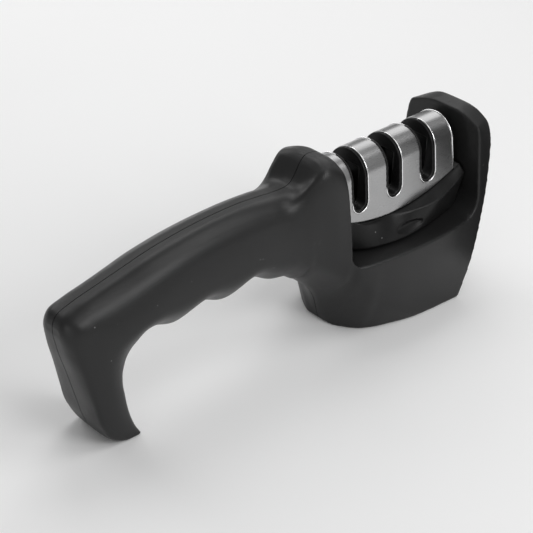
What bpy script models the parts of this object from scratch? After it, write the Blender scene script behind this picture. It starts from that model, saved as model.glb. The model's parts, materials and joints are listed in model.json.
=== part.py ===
"""Hand-held kitchen knife sharpener with three sharpening stages.

A hollow two-shell body (hooked handle, thumb stop, base and nose) holds a
cartridge in the bay between the thumb stop and the nose.  The cartridge has a
stainless cover over a plastic housing with three slots, and lifts straight up
out of the body for cleaning.

Frame: X runs from the hook to the nose, Y is across, Z is up.  The origin is
on the table, below the middle slot.  Lengths are in millimetres and are
scaled to metres when a mesh is made.
"""

import math

import bmesh
import bpy
from mathutils import Matrix, Vector

MM = 0.001

# Fits
GAP = 0.3            # clearance between neighbouring pieces
WALL = 2.5           # body shell wall
SHELL_FOOT_Z = 0.2   # lower edge of the shells above the table

# Finger ridges under the handle
RIDGE_DEPTH = 2.0
RIDGE_PITCH = 25.5
RIDGE_PEAK_X = -112.0
RIDGE_START_X, RIDGE_END_X = -132.0, -50.0
RIDGE_FADE = 8.0
BELLY_SHARE = 0.35        # part of each ridge that reaches the handle's sides

# Bay between the thumb stop and the nose
BAY_REAR_X, BAY_FRONT_X = -31.5, 40.8
BAY_FLOOR_Z = 35.0
BAY_REAR_RADIUS, BAY_FRONT_RADIUS = 4.5, 9.0
BAY_TOP_Z = 110.0

# Well in the bay floor that takes the lower part of the cartridge
PLUG_REAR_X, PLUG_FRONT_X = -27.5, 35.5
PLUG_HALF_Y = 9.0
PLUG_GAP = 0.4
COLLAR_WALL = 1.5
COLLAR_LOW_Z = 27.0

# Front face of the nose: profile in X and Z, and its bow across Y
FRONT_PROFILE = [
    (30.6, 0.0), (39.0, 16.0), (44.4, 31.0), (47.8, 43.0), (49.6, 57.0), (50.2, 68.0),
    (50.1, 74.0), (49.5, 76.7), (48.3, 78.4), (46.4, 79.2),
]
FRONT_BOW = 1.5
FRONT_BOW_AT_Y = 24.0

# Base plate, foot pad and their screws
PAD_HEIGHT = 1.4
PLATE_LOW_Z, PLATE_HIGH_Z = 1.7, 3.7
PLATE_XS = (-24.0, -21.0, -17.0, -11.0, -4.0, 4.0, 12.0, 20.0, 26.4)
PAD_EDGE = 0.8
POST_XY = ((-10.0, 14.8), (22.0, 14.8))
POST_RADIUS = 2.9
PEG_XZ = ((-145.0, 46.0), (-100.0, 55.0), (-62.0, 54.0))
PEG_RADIUS, PEG_BOSS_RADIUS, PEG_REACH = 1.5, 3.2, 4.5

# Cartridge: three stages along X
SLOT_PITCH = 20.0
SLOT_XS = (-SLOT_PITCH, 0.0, SLOT_PITCH)
SLOT_COVER_HALF = 4.6     # half width of the openings in the cover
SLOT_LIP_HALF = 4.3       # outside of the housing's lips
SLOT_HALF = 3.2           # clear slot for the blade
SLOT_ROUND_Z = 57.5       # centre of the round slot bottoms
LIP_INSET = 0.15          # lips below the cover's surface
SHEET = 0.7               # cover sheet
COVER_REAR_X, COVER_FRONT_X = -30.4, 35.6
RIDGE_Z = 75.9            # top of the cover
ARCH_RADIUS = 10.4        # round top of the cover
ARCH_FOOT_HALF = 12.6     # half width at its lower edge
SKIRT_LOW_Z = 36.2
SKIRT_FRONT_X = 39.4
SKIRT_PLAN = [            # half width of the skirt's lower edge along X
    (-28.6, 6.0), (-26.5, 9.0), (-22.0, 12.4), (-17.5, 15.1), (-9.0, 17.6), (0.5, 18.9),
    (12.0, 18.4), (26.5, 15.8), (32.0, 14.7), (36.0, 13.9), (38.3, 13.3), (SKIRT_FRONT_X, 12.4),
]
SKIRT_RIDGE = [           # half width of the skirt's ridge along X
    (-28.6, 6.5), (-26.5, 9.5), (-22.0, 12.7), (-2.0, 13.2), (8.5, 16.7), (19.0, 19.0),
    (28.3, 18.1), (34.6, 17.0), (SKIRT_FRONT_X, 15.6),
]
RIDGE_FROM_X = -2.0       # where the ridge leaves the cover's edge
RIDGE_LOW_Z, RIDGE_RISE = 45.5, 6.8
SKIRT_CLEARANCE = 1.2     # between the skirt's ends and the bay's fillets
CHAMBER_HALF_Y = 6.3
CHAMBER_HALF_X = {-SLOT_PITCH: 6.4, 0.0: 8.2, SLOT_PITCH: 6.4}
CHAMBER_TOP_Z = 70.0
CARTRIDGE_PLATE_Z = (22.0, 24.2)
CARTRIDGE_SCREW_XY = (10.9, 6.2)
HOLDER_TOP_Z = 45.0
SCOOP_X, SCOOP_Z = 3.4, 39.8
SCOOP_SIZE = (8.7, 1.4, 2.3)
SCOOP_TILT = math.radians(30.0)
SPRING_X, SPRING_HALF_X = -0.8, 4.0

# Sharpening elements: crossing height, lean from vertical, size, place across Y
ROD_CROSS_Z, ROD_LEAN, ROD_Y = 51.0, math.radians(20.0), 2.3
DIAMOND_RADIUS, CERAMIC_RADIUS = 1.5, 1.7
ROD_LOW_Z, ROD_HIGH_Z = 38.8, 62.5
BLADE_CROSS_Z, BLADE_LEAN, BLADE_Y = 48.5, math.radians(24.0), 1.3
BLADE_WIDTH, BLADE_THICK = 5.0, 2.0
BLADE_LOW_Z, BLADE_HIGH_Z = 38.2, 59.5
BLADE_SCREW_Z = 41.0

# Screws: head radius, head height, shank radius, length
BASE_SCREW = (2.6, 1.5, 1.1, 10.0)
CARTRIDGE_SCREW = (2.2, 1.4, 1.0, 9.0)
BLADE_SCREW = (1.7, 1.2, 0.9, 5.3)


# ---------------------------------------------------------------------------
# Body sections.  A row joins a low rail point to a top rail point; its half
# outline runs from the low point round the side to the top point through five
# corners, each rounded by its softness (0 is sharp, 0.5 is fully round).

def slanted(low, top, foot, belly, side, shoulder, crown, soft=(0.45, 0.45, 0.4)):
    """Row across the hook: corners are (half width, distance from the low rail)."""
    length = math.dist(low, top)
    corners = [foot, belly, side, shoulder, (crown, length)]
    return dict(low=low, top=top, corners=corners, soft=[soft[0], soft[1], 0.45, soft[2], 0.45])


def upright(x, low_z, top_z, foot, belly, side, shoulder, crown, soft=(0.45, 0.45, 0.4)):
    """Row at one X: corners are (half width, Z)."""
    points = [(w, z - low_z) for w, z in (foot, belly, side, shoulder)]
    return slanted((x, low_z), (x, top_z), *points, crown, soft)


def base_row(x, foot, belly, side, shoulder=(16.5, 73.3), top_z=77.5, crown=7.0, edge=0.12):
    """Row through the base, which has a crisp lower edge."""
    foot_at = (foot, SHELL_FOOT_Z)
    return upright(x, SHELL_FOOT_Z, top_z, foot_at, belly, side, shoulder, crown, (0.02, 0.3, edge))


HOOK_SOFT = (0.4, 0.45, 0.3)
HOOK_ROWS = [
    slanted((-132.1, 0.3), (-136.9, 0.2), (12.0, 0.4), (12.6, 1.3), (12.6, 2.6), (12.2, 3.8), 6.5, HOOK_SOFT),
    slanted((-132.3, 1.2), (-141.4, 0.3), (11.8, 0.7), (12.4, 2.6), (12.4, 5.2), (12.0, 7.9), 7.0, HOOK_SOFT),
    slanted((-133.0, 3.1), (-146.6, 2.9), (11.6, 1.0), (12.4, 4.2), (12.4, 8.4), (12.0, 12.2), 7.2,
            HOOK_SOFT),
    slanted((-134.3, 6.7), (-150.2, 9.7), (11.4, 1.2), (12.5, 5.6), (12.5, 10.8), (12.0, 15.6), 7.2,
            HOOK_SOFT),
    slanted((-135.9, 12.3), (-153.5, 21.0), (11.2, 1.4), (12.6, 7.0), (12.5, 13.0), (11.7, 18.6), 7.0,
            HOOK_SOFT),
    slanted((-136.8, 18.5), (-157.1, 33.9), (11.0, 1.7), (12.8, 8.5), (12.5, 15.3), (11.2, 23.0), 6.6),
    slanted((-137.2, 23.8), (-160.4, 45.6), (10.6, 2.1), (12.9, 10.0), (12.4, 18.3), (10.5, 28.0), 6.0),
    slanted((-136.4, 28.5), (-161.7, 55.1), (10.0, 2.3), (13.0, 11.0), (12.5, 20.0), (10.0, 31.6), 5.5),
    slanted((-134.5, 32.1), (-159.8, 58.9), (9.0, 2.2), (13.2, 11.2), (12.7, 20.0), (9.9, 31.9), 5.2),
    slanted((-131.6, 34.9), (-154.1, 61.2), (7.8, 1.9), (13.4, 10.8), (12.9, 19.2), (9.8, 29.5), 5.0),
    slanted((-127.3, 36.6), (-144.2, 63.6), (6.8, 1.5), (13.7, 10.4), (13.1, 18.3), (9.9, 26.8), 4.9),
    slanted((-122.0, 37.6), (-132.5, 66.2), (6.0, 1.2), (13.9, 10.0), (13.2, 18.0), (10.1, 26.0), 4.8),
    slanted((-117.0, 37.9), (-121.0, 68.8), (5.6, 1.0), (13.9, 9.8), (13.3, 18.2), (10.3, 26.8), 4.8),
]
HANDLE_ROWS = [
    upright(-108, 37.7, 70.8, (5.5, 38.7), (13.9, 47.5), (13.3, 56.0), (10.4, 66.4), 4.8),
    upright(-97, 37.7, 71.9, (5.5, 38.7), (13.9, 47.5), (13.3, 56.0), (10.4, 67.4), 4.8),
    upright(-86, 37.7, 72.4, (5.5, 38.7), (13.9, 47.5), (13.3, 56.0), (10.4, 67.9), 4.8),
    upright(-75, 37.7, 72.4, (5.5, 38.7), (13.9, 47.5), (13.3, 56.0), (10.5, 68.0), 4.8),
    upright(-65, 36.8, 71.6, (5.8, 37.9), (14.2, 46.0), (13.4, 56.0), (10.7, 67.6), 5.0),
    upright(-58, 35.0, 70.9, (6.2, 36.2), (14.8, 44.8), (13.8, 56.0), (10.9, 67.4), 5.2),
]
THUMB_STOP_ROWS = [
    upright(-53, 31.6, 70.8, (6.6, 32.8), (15.4, 42.6), (14.6, 55.0), (11.3, 70.4), 5.4),
    upright(-50, 29.6, 71.2, (6.6, 30.8), (15.9, 41.0), (15.2, 55.0), (11.8, 73.6), 5.6),
    upright(-48, 28.7, 72.4, (6.6, 29.9), (16.1, 41.0), (15.6, 54.5), (12.4, 76.0), 5.8),
    upright(-46, 27.1, 75.2, (6.0, 28.3), (16.6, 39.8), (16.0, 54.0), (13.1, 77.4), 6.2),
    upright(-44, 25.4, 78.8, (5.4, 26.6), (17.1, 38.5), (16.4, 53.5), (13.8, 78.4), 6.8),
    upright(-42, 23.6, 80.8, (4.9, 24.7), (17.7, 37.2), (16.9, 53.0), (14.4, 78.6), 7.2),
    upright(-38.5, 20.4, 81.4, (4.2, 21.4), (18.8, 34.6), (17.8, 52.0), (15.0, 77.8), 7.4),
    upright(-35, 16.8, 80.6, (3.7, 17.7), (20.0, 31.8), (18.4, 51.0), (15.1, 76.0), 7.2),
    upright(-33, 13.4, 79.5, (3.5, 14.2), (20.8, 30.4), (18.8, 50.0), (15.0, 74.6), 7.0),
    upright(-31.5, 9.8, 78.2, (3.4, 10.5), (21.2, 30.2), (19.4, 49.0), (14.9, 73.4), 6.8),
    upright(-29.8, 3.8, 77.4, (4.2, 4.3), (21.7, 29.0), (20.6, 46.0), (15.0, 73.0), 6.8),
]
BASE_ROWS = [
    base_row(-28.6, 6.2, (21.9, 28.0), (21.8, 42.0), edge=0.35),
    base_row(-25.6, 12.4, (22.7, 25.0), (23.2, 38.0), edge=0.3),
    base_row(-22.0, 16.8, (23.7, 20.5), (24.1, 38.0)),
    base_row(-18.0, 19.4, (24.3, 18.0), (24.8, 38.0)),
    base_row(-9.0, 22.8, (25.6, 10.5), (26.1, 38.0)),
    base_row(2.0, 25.8, (26.4, 3.0), (27.0, 38.0)),
    base_row(12.0, 27.0, (27.1, 3.0), (27.1, 38.0)),
    base_row(22.0, 27.6, (27.5, 4.0), (26.5, 37.0), (18.0, 73.3), crown=9.0),
    base_row(32.0, 28.0, (27.6, 4.0), (25.1, 37.0), (18.9, 73.2), 78.0, 9.8),
    base_row(41.0, 27.8, (27.3, 4.0), (23.9, 38.0), (19.6, 73.1), 77.6, 9.2, 0.14),
    base_row(46.0, 27.2, (26.7, 4.0), (23.1, 38.0), (20.0, 72.6), 78.6, 8.2, 0.32),
    base_row(54.0, 25.9, (25.4, 4.0), (21.6, 38.0), (19.2, 72.0), 79.1, 7.6, 0.34),
]
ROWS = HOOK_ROWS + HANDLE_ROWS + THUMB_STOP_ROWS + BASE_ROWS
FIRST_HOLLOW_ROW = 4      # the hook's end is solid
RIDGED_ROWS = range(len(HOOK_ROWS) - 3, len(HOOK_ROWS) + len(HANDLE_ROWS))


CRISP = 0.1                  # softness of a crisp lower edge
OPEN_FROM_HALF_WIDTH = 10.0  # the hollow is open below where the base is at least this wide
OPENING_H = -2.0             # and reaches this far past the lower edge


def finger_ridge(x):
    """How far the finger ridges raise or lower the underside of the handle."""
    rise = min((x - RIDGE_START_X) / RIDGE_FADE, (RIDGE_END_X - x) / RIDGE_FADE, 1.0)
    if rise <= 0.0:
        return 0.0
    wave = math.cos(2.0 * math.pi * (x - RIDGE_PEAK_X) / RIDGE_PITCH)
    return -RIDGE_DEPTH * wave * rise


def blend_rows(a, b, t):
    """Row part way between two rows."""
    def mix(p, q):
        return tuple(u + (v - u) * t for u, v in zip(p, q))

    corners = [mix(p, q) for p, q in zip(a["corners"], b["corners"])]
    return dict(low=mix(a["low"], b["low"]), top=mix(a["top"], b["top"]),
                corners=corners, soft=mix(a["soft"], b["soft"]))


def body_rows(first=0):
    """The design rows, with one more between each two where the finger ridges are."""
    rows = []
    for index in range(first, len(ROWS) - 1):
        rows.append(ROWS[index])
        if index in RIDGED_ROWS:
            rows.append(blend_rows(ROWS[index], ROWS[index + 1], 0.5))
    return rows + [ROWS[-1]]


def soft_corner_points(points, soft, steps):
    """Open outline through the end points, with the corners between them rounded."""
    outline = [Vector(points[0])]
    for index in range(1, len(points) - 1):
        corner = Vector(points[index])
        start = corner.lerp(Vector(points[index - 1]), soft[index - 1])
        end = corner.lerp(Vector(points[index + 1]), soft[index - 1])
        for step in range(steps + 1):
            t = step / steps
            outline.append(start.lerp(corner, t).lerp(corner.lerp(end, t), t))
    return outline + [Vector(points[-1])]


def half_outline(row, steps, inset=0.0):
    """(half width, height over the low rail) points of a row, pulled in by inset."""
    height = math.dist(row["low"], row["top"])
    ridge = finger_ridge(row["low"][0])
    foot, belly, side, shoulder, crown = row["corners"]
    floor, foot_h = inset + ridge, foot[1] + inset + ridge
    if inset and row["soft"][0] < CRISP and foot[0] > OPEN_FROM_HALF_WIDTH:
        floor = foot_h = OPENING_H
    points = [
        (0.0, floor), (foot[0] - inset, foot_h), (belly[0] - inset, belly[1] + ridge * BELLY_SHARE),
        (side[0] - inset, side[1]), (shoulder[0] - inset, shoulder[1] - inset),
        (crown[0] - inset, crown[1] - inset), (0.0, height - inset),
    ]
    return soft_corner_points(points, row["soft"], steps)


def body_ring(row, steps, inset=0.0):
    """Closed ring of points for one body row."""
    low = Vector((row["low"][0], 0.0, row["low"][1]))
    top = Vector((row["top"][0], 0.0, row["top"][1]))
    up = (top - low).normalized()
    across = Vector((0.0, 1.0, 0.0))
    outline = half_outline(row, steps, inset)
    right = [low + up * p.y + across * p.x for p in outline]
    left = [low + up * p.y - across * p.x for p in reversed(outline[1:-1])]
    return right + left


def half_width_at(x, z):
    """Half width of the base at one X and height, from its rows."""
    upper = next(i for i in range(1, len(BASE_ROWS)) if BASE_ROWS[i]["low"][0] >= x)
    a, b = BASE_ROWS[upper - 1], BASE_ROWS[upper]
    row = blend_rows(a, b, (x - a["low"][0]) / (b["low"][0] - a["low"][0]))
    (foot_w, foot_h), (belly_w, belly_h) = row["corners"][:2]
    return foot_w + (belly_w - foot_w) * (z - SHELL_FOOT_Z - foot_h) / (belly_h - foot_h)


# ---------------------------------------------------------------------------
# Making meshes and objects

def clear_scene():
    for existing in list(bpy.data.objects):
        bpy.data.objects.remove(existing, do_unlink=True)


def new_collection(name):
    collection = bpy.data.collections.new(name)
    bpy.context.scene.collection.children.link(collection)
    return collection


def new_material(name, color, roughness, metallic=0.0):
    material = bpy.data.materials.new(name)
    material.use_nodes = True
    shader = material.node_tree.nodes["Principled BSDF"]
    shader.inputs["Base Color"].default_value = (*color, 1.0)
    shader.inputs["Roughness"].default_value = roughness
    shader.inputs["Metallic"].default_value = metallic
    return material


def object_from_bmesh(name, mesh_data, collection, material=None):
    """Turn the mesh's normals outward, scale it to metres and link it."""
    bmesh.ops.recalc_face_normals(mesh_data, faces=mesh_data.faces)
    bmesh.ops.triangulate(mesh_data, faces=mesh_data.faces)
    bmesh.ops.scale(mesh_data, vec=(MM, MM, MM), verts=mesh_data.verts)
    mesh = bpy.data.meshes.new(name)
    mesh_data.to_mesh(mesh)
    mesh_data.free()
    made = bpy.data.objects.new(name, mesh)
    collection.objects.link(made)
    if material:
        mesh.materials.append(material)
    else:
        made.hide_render = True
        made.display_type = 'WIRE'
    return made


def loft(rings):
    """Skin between equal rings, with the first and last ring closed."""
    skin = bmesh.new()
    loops = [[skin.verts.new(point) for point in ring] for ring in rings]
    count = len(loops[0])
    for a, b in zip(loops, loops[1:]):
        for i in range(count):
            j = (i + 1) % count
            skin.faces.new((a[i], a[j], b[j], b[i]))
    skin.faces.new(list(reversed(loops[0])))
    skin.faces.new(loops[-1])
    return skin


def prism_y(profile, y_low, y_high):
    """An X-Z outline extruded across Y."""
    return loft([[Vector((x, y, z)) for x, z in profile] for y in (y_low, y_high)])


def prism_x(profile, x_low, x_high):
    """A Y-Z outline extruded along X."""
    return loft([[Vector((x, y, z)) for y, z in profile] for x in (x_low, x_high)])


def prism_z(profile, z_low, z_high):
    """An X-Y outline extruded upward."""
    return loft([[Vector((x, y, z)) for x, y in profile] for z in (z_low, z_high)])


def block(x_range, y_range, z_range):
    """Box between three ranges."""
    box = bmesh.new()
    bmesh.ops.create_cube(box, size=1.0)
    ranges = (x_range, y_range, z_range)
    size = [high - low for low, high in ranges]
    centre = [(high + low) / 2.0 for low, high in ranges]
    bmesh.ops.scale(box, vec=size, verts=box.verts)
    bmesh.ops.translate(box, vec=centre, verts=box.verts)
    return box


def rod(start, end, radius, segments=16):
    """Round bar between two points."""
    start, end = Vector(start), Vector(end)
    axis = end - start
    bar = bmesh.new()
    turn = Vector((0.0, 0.0, 1.0)).rotation_difference(axis).to_matrix().to_4x4()
    place = Matrix.Translation((start + end) / 2.0) @ turn
    bmesh.ops.create_cone(bar, cap_ends=True, segments=segments, radius1=radius, radius2=radius,
                          depth=axis.length, matrix=place)
    return bar


def boolean(target, tool, operation='DIFFERENCE'):
    modifier = target.modifiers.new(f"{operation.lower()}_{tool.name}", 'BOOLEAN')
    modifier.operation = operation
    modifier.solver = 'EXACT'
    modifier.object = tool


def arc(centre, radius, start_degrees, end_degrees, steps):
    """Points along an arc in a plane."""
    points = []
    for step in range(steps + 1):
        angle = math.radians(start_degrees + (end_degrees - start_degrees) * step / steps)
        points.append((centre[0] + radius * math.cos(angle), centre[1] + radius * math.sin(angle)))
    return points


# ---------------------------------------------------------------------------
# Body

def bay_profile(offset=0.0):
    """X-Z outline of the bay, grown outward by offset."""
    rear, front, floor = BAY_REAR_X - offset, BAY_FRONT_X + offset, BAY_FLOOR_Z - offset
    r_rear, r_front = BAY_REAR_RADIUS + offset, BAY_FRONT_RADIUS + offset
    outline = [(rear, BAY_TOP_Z)]
    outline += arc((rear + r_rear, floor + r_rear), r_rear, 180, 270, 5)
    outline += arc((front - r_front, floor + r_front), r_front, 270, 360, 6)
    return outline + [(front, BAY_TOP_Z)]


def front_cutter(name, cutters, inset=0.0):
    """Everything ahead of the bowed front face."""
    rings = []
    for y in (-45.0, -30.0, -20.0, -10.0, 0.0, 10.0, 20.0, 30.0, 45.0):
        bow = -FRONT_BOW * (y / FRONT_BOW_AT_Y) ** 2 - inset
        face = [(FRONT_PROFILE[0][0] - 3.0, -6.0)] + FRONT_PROFILE + [(38.0, 81.0)]
        ring = [Vector((x + bow, y, z)) for x, z in face]
        rings.append(ring + [Vector((70.0, y, 95.0)), Vector((70.0, y, -6.0))])
    return object_from_bmesh(name, loft(rings), cutters)


def body_cavity(cutters):
    """Hollow of the body: the inset form less the bay, the well's collar, posts and bosses."""
    rows = body_rows(FIRST_HOLLOW_ROW)
    cavity = object_from_bmesh("cavity", loft([body_ring(row, 1, WALL) for row in rows]), cutters)
    boolean(cavity, front_cutter("cavity_front", cutters, WALL))
    keep = {
        "bay_walls": prism_y(bay_profile(WALL), -60.0, 60.0),
        "collar": block((PLUG_REAR_X - PLUG_GAP - COLLAR_WALL, PLUG_FRONT_X + PLUG_GAP + COLLAR_WALL),
                        (-PLUG_HALF_Y - PLUG_GAP - COLLAR_WALL, PLUG_HALF_Y + PLUG_GAP + COLLAR_WALL),
                        (COLLAR_LOW_Z, BAY_FLOOR_Z)),
    }
    for number, (x, y) in enumerate(POST_XY, 1):
        for side in (-1, 1):
            bottom, top = (x, side * y, PLATE_HIGH_Z + GAP), (x, side * y, BAY_FLOOR_Z)
            keep[f"post_{number}_{side}"] = rod(bottom, top, POST_RADIUS, 12)
    for number, (x, z) in enumerate(PEG_XZ, 1):
        keep[f"boss_{number}"] = rod((x, -30.0, z), (x, 30.0, z), PEG_BOSS_RADIUS, 12)
    for name, shape in keep.items():
        boolean(cavity, object_from_bmesh(f"keep_{name}", shape, cutters))
    return cavity


def make_body(parts, cutters, plastic):
    """The two body shells, which meet along the middle with a seam."""
    bay = object_from_bmesh("bay", prism_y(bay_profile(), -60.0, 60.0), cutters)
    front = front_cutter("front", cutters)
    cavity = body_cavity(cutters)
    well = block((PLUG_REAR_X - PLUG_GAP, PLUG_FRONT_X + PLUG_GAP),
                 (-PLUG_HALF_Y - PLUG_GAP, PLUG_HALF_Y + PLUG_GAP),
                 (COLLAR_LOW_Z - 5.0, BAY_FLOOR_Z + 12.0))
    tools = [front, cavity, bay, object_from_bmesh("well", well, cutters)]
    for number, (x, y) in enumerate(POST_XY, 1):
        for side in (-1, 1):
            pilot = rod((x, side * y, 1.0), (x, side * y, 14.0), 1.35, 10)
            tools.append(object_from_bmesh(f"pilot_{number}_{side}", pilot, cutters))
    for name, side in (("body_shell_left", 1), ("body_shell_right", -1)):
        skin = loft([body_ring(row, 2) for row in body_rows()])
        shell = object_from_bmesh(name, skin, parts, plastic)
        for tool in tools:
            boolean(shell, tool)
        other = sorted((side * GAP / 2.0, -side * 80.0))
        half = object_from_bmesh(f"{name}_half", block((-200.0, 80.0), other, (-30.0, 120.0)), cutters)
        boolean(shell, half)
        for number, (x, z) in enumerate(PEG_XZ, 1):
            if side > 0:
                bore = rod((x, -2.0, z), (x, PEG_REACH + 1.0, z), PEG_RADIUS + GAP, 10)
                boolean(shell, object_from_bmesh(f"socket_{number}", bore, cutters))
            else:
                peg = rod((x, -2.5, z), (x, PEG_REACH, z), PEG_RADIUS, 10)
                boolean(shell, object_from_bmesh(f"peg_{number}", peg, cutters), 'UNION')


def foot_outline(edge):
    """X-Y outline inside the shells' lower opening, pulled in by edge."""
    side = [(x, half_width_at(x, PLATE_HIGH_Z / 2.0) - WALL - edge) for x in PLATE_XS]
    side[0] = (side[0][0] + edge, side[0][1] - edge)
    side[-1] = (side[-1][0] - edge, side[-1][1])
    return side + [(x, -w) for x, w in reversed(side)]


def lathe(profile, segments=14):
    """Turned solid from (radius, height) points, given from top to bottom."""
    shape = bmesh.new()
    verts = [shape.verts.new((r, 0.0, z)) for r, z in profile]
    edges = [shape.edges.new(pair) for pair in zip(verts, verts[1:])]
    bmesh.ops.spin(shape, geom=verts + edges, cent=(0, 0, 0), axis=(0, 0, 1),
                   angle=2.0 * math.pi, steps=segments, use_merge=True)
    bmesh.ops.remove_doubles(shape, verts=shape.verts, dist=0.001)
    return shape


def countersunk_screw(head_radius, head_height, shank_radius, length, grow=0.0):
    """Screw pointing up from its flat head at height 0; its hole is the same shape, grown."""
    head, shank, rim = head_radius + grow, shank_radius + grow, 0.35
    return lathe([(0.0, length + grow), (shank * 0.5, length + grow), (shank, length - 1.0 + grow),
                  (shank, head_height + grow), (head, rim + grow), (head, -grow), (0.0, -grow)])


def cheese_screw(head_radius, head_height, shank_radius, length, grow=0.0):
    """Screw with a flat cylindrical head, pointing up from height 0, or its grown hole."""
    head, shank = head_radius + grow, shank_radius + grow
    return lathe([(0.0, length + grow), (shank, length + grow), (shank, head_height + grow),
                  (head, head_height + grow), (head, -grow), (0.0, -grow)])


def place_up(piece, x, y, z):
    piece.location = (x * MM, y * MM, z * MM)
    return piece


def make_base(parts, cutters, plastic, rubber, steel):
    """Base plate, its four screws and the rubber pad glued under it."""
    plate = prism_z(foot_outline(GAP), PLATE_LOW_Z, PLATE_HIGH_Z)
    plate = object_from_bmesh("base_plate", plate, parts, plastic)
    pad = prism_z(foot_outline(GAP + PAD_EDGE), 0.0, PAD_HEIGHT)
    object_from_bmesh("foot_pad", pad, parts, rubber)
    places = [(x, side * y) for x, y in POST_XY for side in (1, -1)]
    for number, (x, y) in enumerate(places, 1):
        at = (x, y, PLATE_LOW_Z + 0.1)
        hole = object_from_bmesh(f"base_hole_{number}", countersunk_screw(*BASE_SCREW, GAP), cutters)
        boolean(plate, place_up(hole, *at))
        screw = object_from_bmesh(f"base_screw_{number}", countersunk_screw(*BASE_SCREW), parts, steel)
        place_up(screw, *at)


# ---------------------------------------------------------------------------
# Cartridge

def cover_edge_z(x):
    """Height of the cover's lower edge, lowest at mid length."""
    return 46.3 + 7.4 * (x / 35.0) ** 2


def arch_outline(x, inset):
    """Half outline of the cover's arch from its lower edge to the top."""
    edge = (ARCH_FOOT_HALF - inset, cover_edge_z(x))
    return [edge] + arc((0.0, RIDGE_Z - ARCH_RADIUS), ARCH_RADIUS - inset, 4, 90, 6)


def cover_shape():
    """Bent sheet over the housing."""
    rings = []
    for step in range(7):
        x = COVER_REAR_X + (COVER_FRONT_X - COVER_REAR_X) * step / 6
        outer, inner = arch_outline(x, 0.0), arch_outline(x, SHEET)
        over = outer + [(-y, z) for y, z in reversed(outer[:-1])]
        under = [(-y, z) for y, z in inner] + inner[-2::-1]
        rings.append([Vector((x, y, z)) for y, z in over + under])
    return loft(rings)


def slot_profile(x, half):
    """X-Z outline of a slot with a round bottom, open above the cover."""
    sides = arc((x, SLOT_ROUND_Z), half, 180, 360, 8)
    return [(x - half, 90.0)] + sides + [(x + half, 90.0)]


def half_width_on(plan, x):
    """Half width at one X, from (X, half width) points."""
    upper = next(i for i in range(1, len(plan)) if plan[i][0] >= x)
    (x0, w0), (x1, w1) = plan[upper - 1], plan[upper]
    return w0 + (w1 - w0) * (x - x0) / (x1 - x0)


def skirt_ridge_z(x):
    """Height of the skirt's ridge, which leaves the cover's edge and rises toward the nose."""
    reach = (x - RIDGE_FROM_X) / (SKIRT_FRONT_X - RIDGE_FROM_X)
    if reach < 0.0:
        return cover_edge_z(x) - 0.8
    return RIDGE_LOW_Z + RIDGE_RISE * reach ** 2


def skirt_low_z(x):
    """Height of the skirt's lower edge, which follows the bay's fillets at both ends."""
    low = SKIRT_LOW_Z
    for centre_x, radius, side in ((BAY_REAR_X + BAY_REAR_RADIUS, BAY_REAR_RADIUS, -1),
                                   (BAY_FRONT_X - BAY_FRONT_RADIUS, BAY_FRONT_RADIUS, 1)):
        past = side * (x - centre_x)
        if past > 0.0:
            inner = radius - SKIRT_CLEARANCE
            low = max(low, BAY_FLOOR_Z + radius - math.sqrt(inner ** 2 - past ** 2))
    return low


def skirt_shape():
    """Boat-shaped lower part of the housing."""
    rings = []
    for x, half in SKIRT_PLAN:
        low_z, top_z = skirt_low_z(x), cover_edge_z(x) - 0.35
        corners = [(0.0, low_z), (half, low_z), (half_width_on(SKIRT_RIDGE, x), skirt_ridge_z(x)),
                   (min(ARCH_FOOT_HALF, half), top_z), (0.0, top_z)]
        outline = soft_corner_points(corners, [0.06, 0.06, 0.06], 1)
        right = [Vector((x, p.x, p.y)) for p in outline]
        left = [Vector((x, -p.x, p.y)) for p in reversed(outline[1:-1])]
        rings.append(right + left)
    return loft(rings)


def arch_solid(inset, x_low, x_high, low_z=38.0):
    """Solid under the arch, pulled in by inset."""
    rings = []
    for step in range(5):
        x = x_low + (x_high - x_low) * step / 4
        outline = arch_outline(x, inset)
        outline = [(outline[0][0], low_z)] + outline
        ring = outline + [(-y, z) for y, z in reversed(outline[:-1])]
        rings.append([Vector((x, y, z)) for y, z in ring])
    return loft(rings)


def lips(number, x, cutters):
    """Rim of the housing that stands in one slot of the cover."""
    rim = arch_solid(LIP_INSET, x - SLOT_LIP_HALF - 1.0, x + SLOT_LIP_HALF + 1.0)
    rim = object_from_bmesh(f"lips_{number}", rim, cutters)
    zone = prism_y(slot_profile(x, SLOT_LIP_HALF), -30.0, 30.0)
    boolean(rim, object_from_bmesh(f"lip_zone_{number}", zone, cutters), 'INTERSECT')
    return rim


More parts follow.
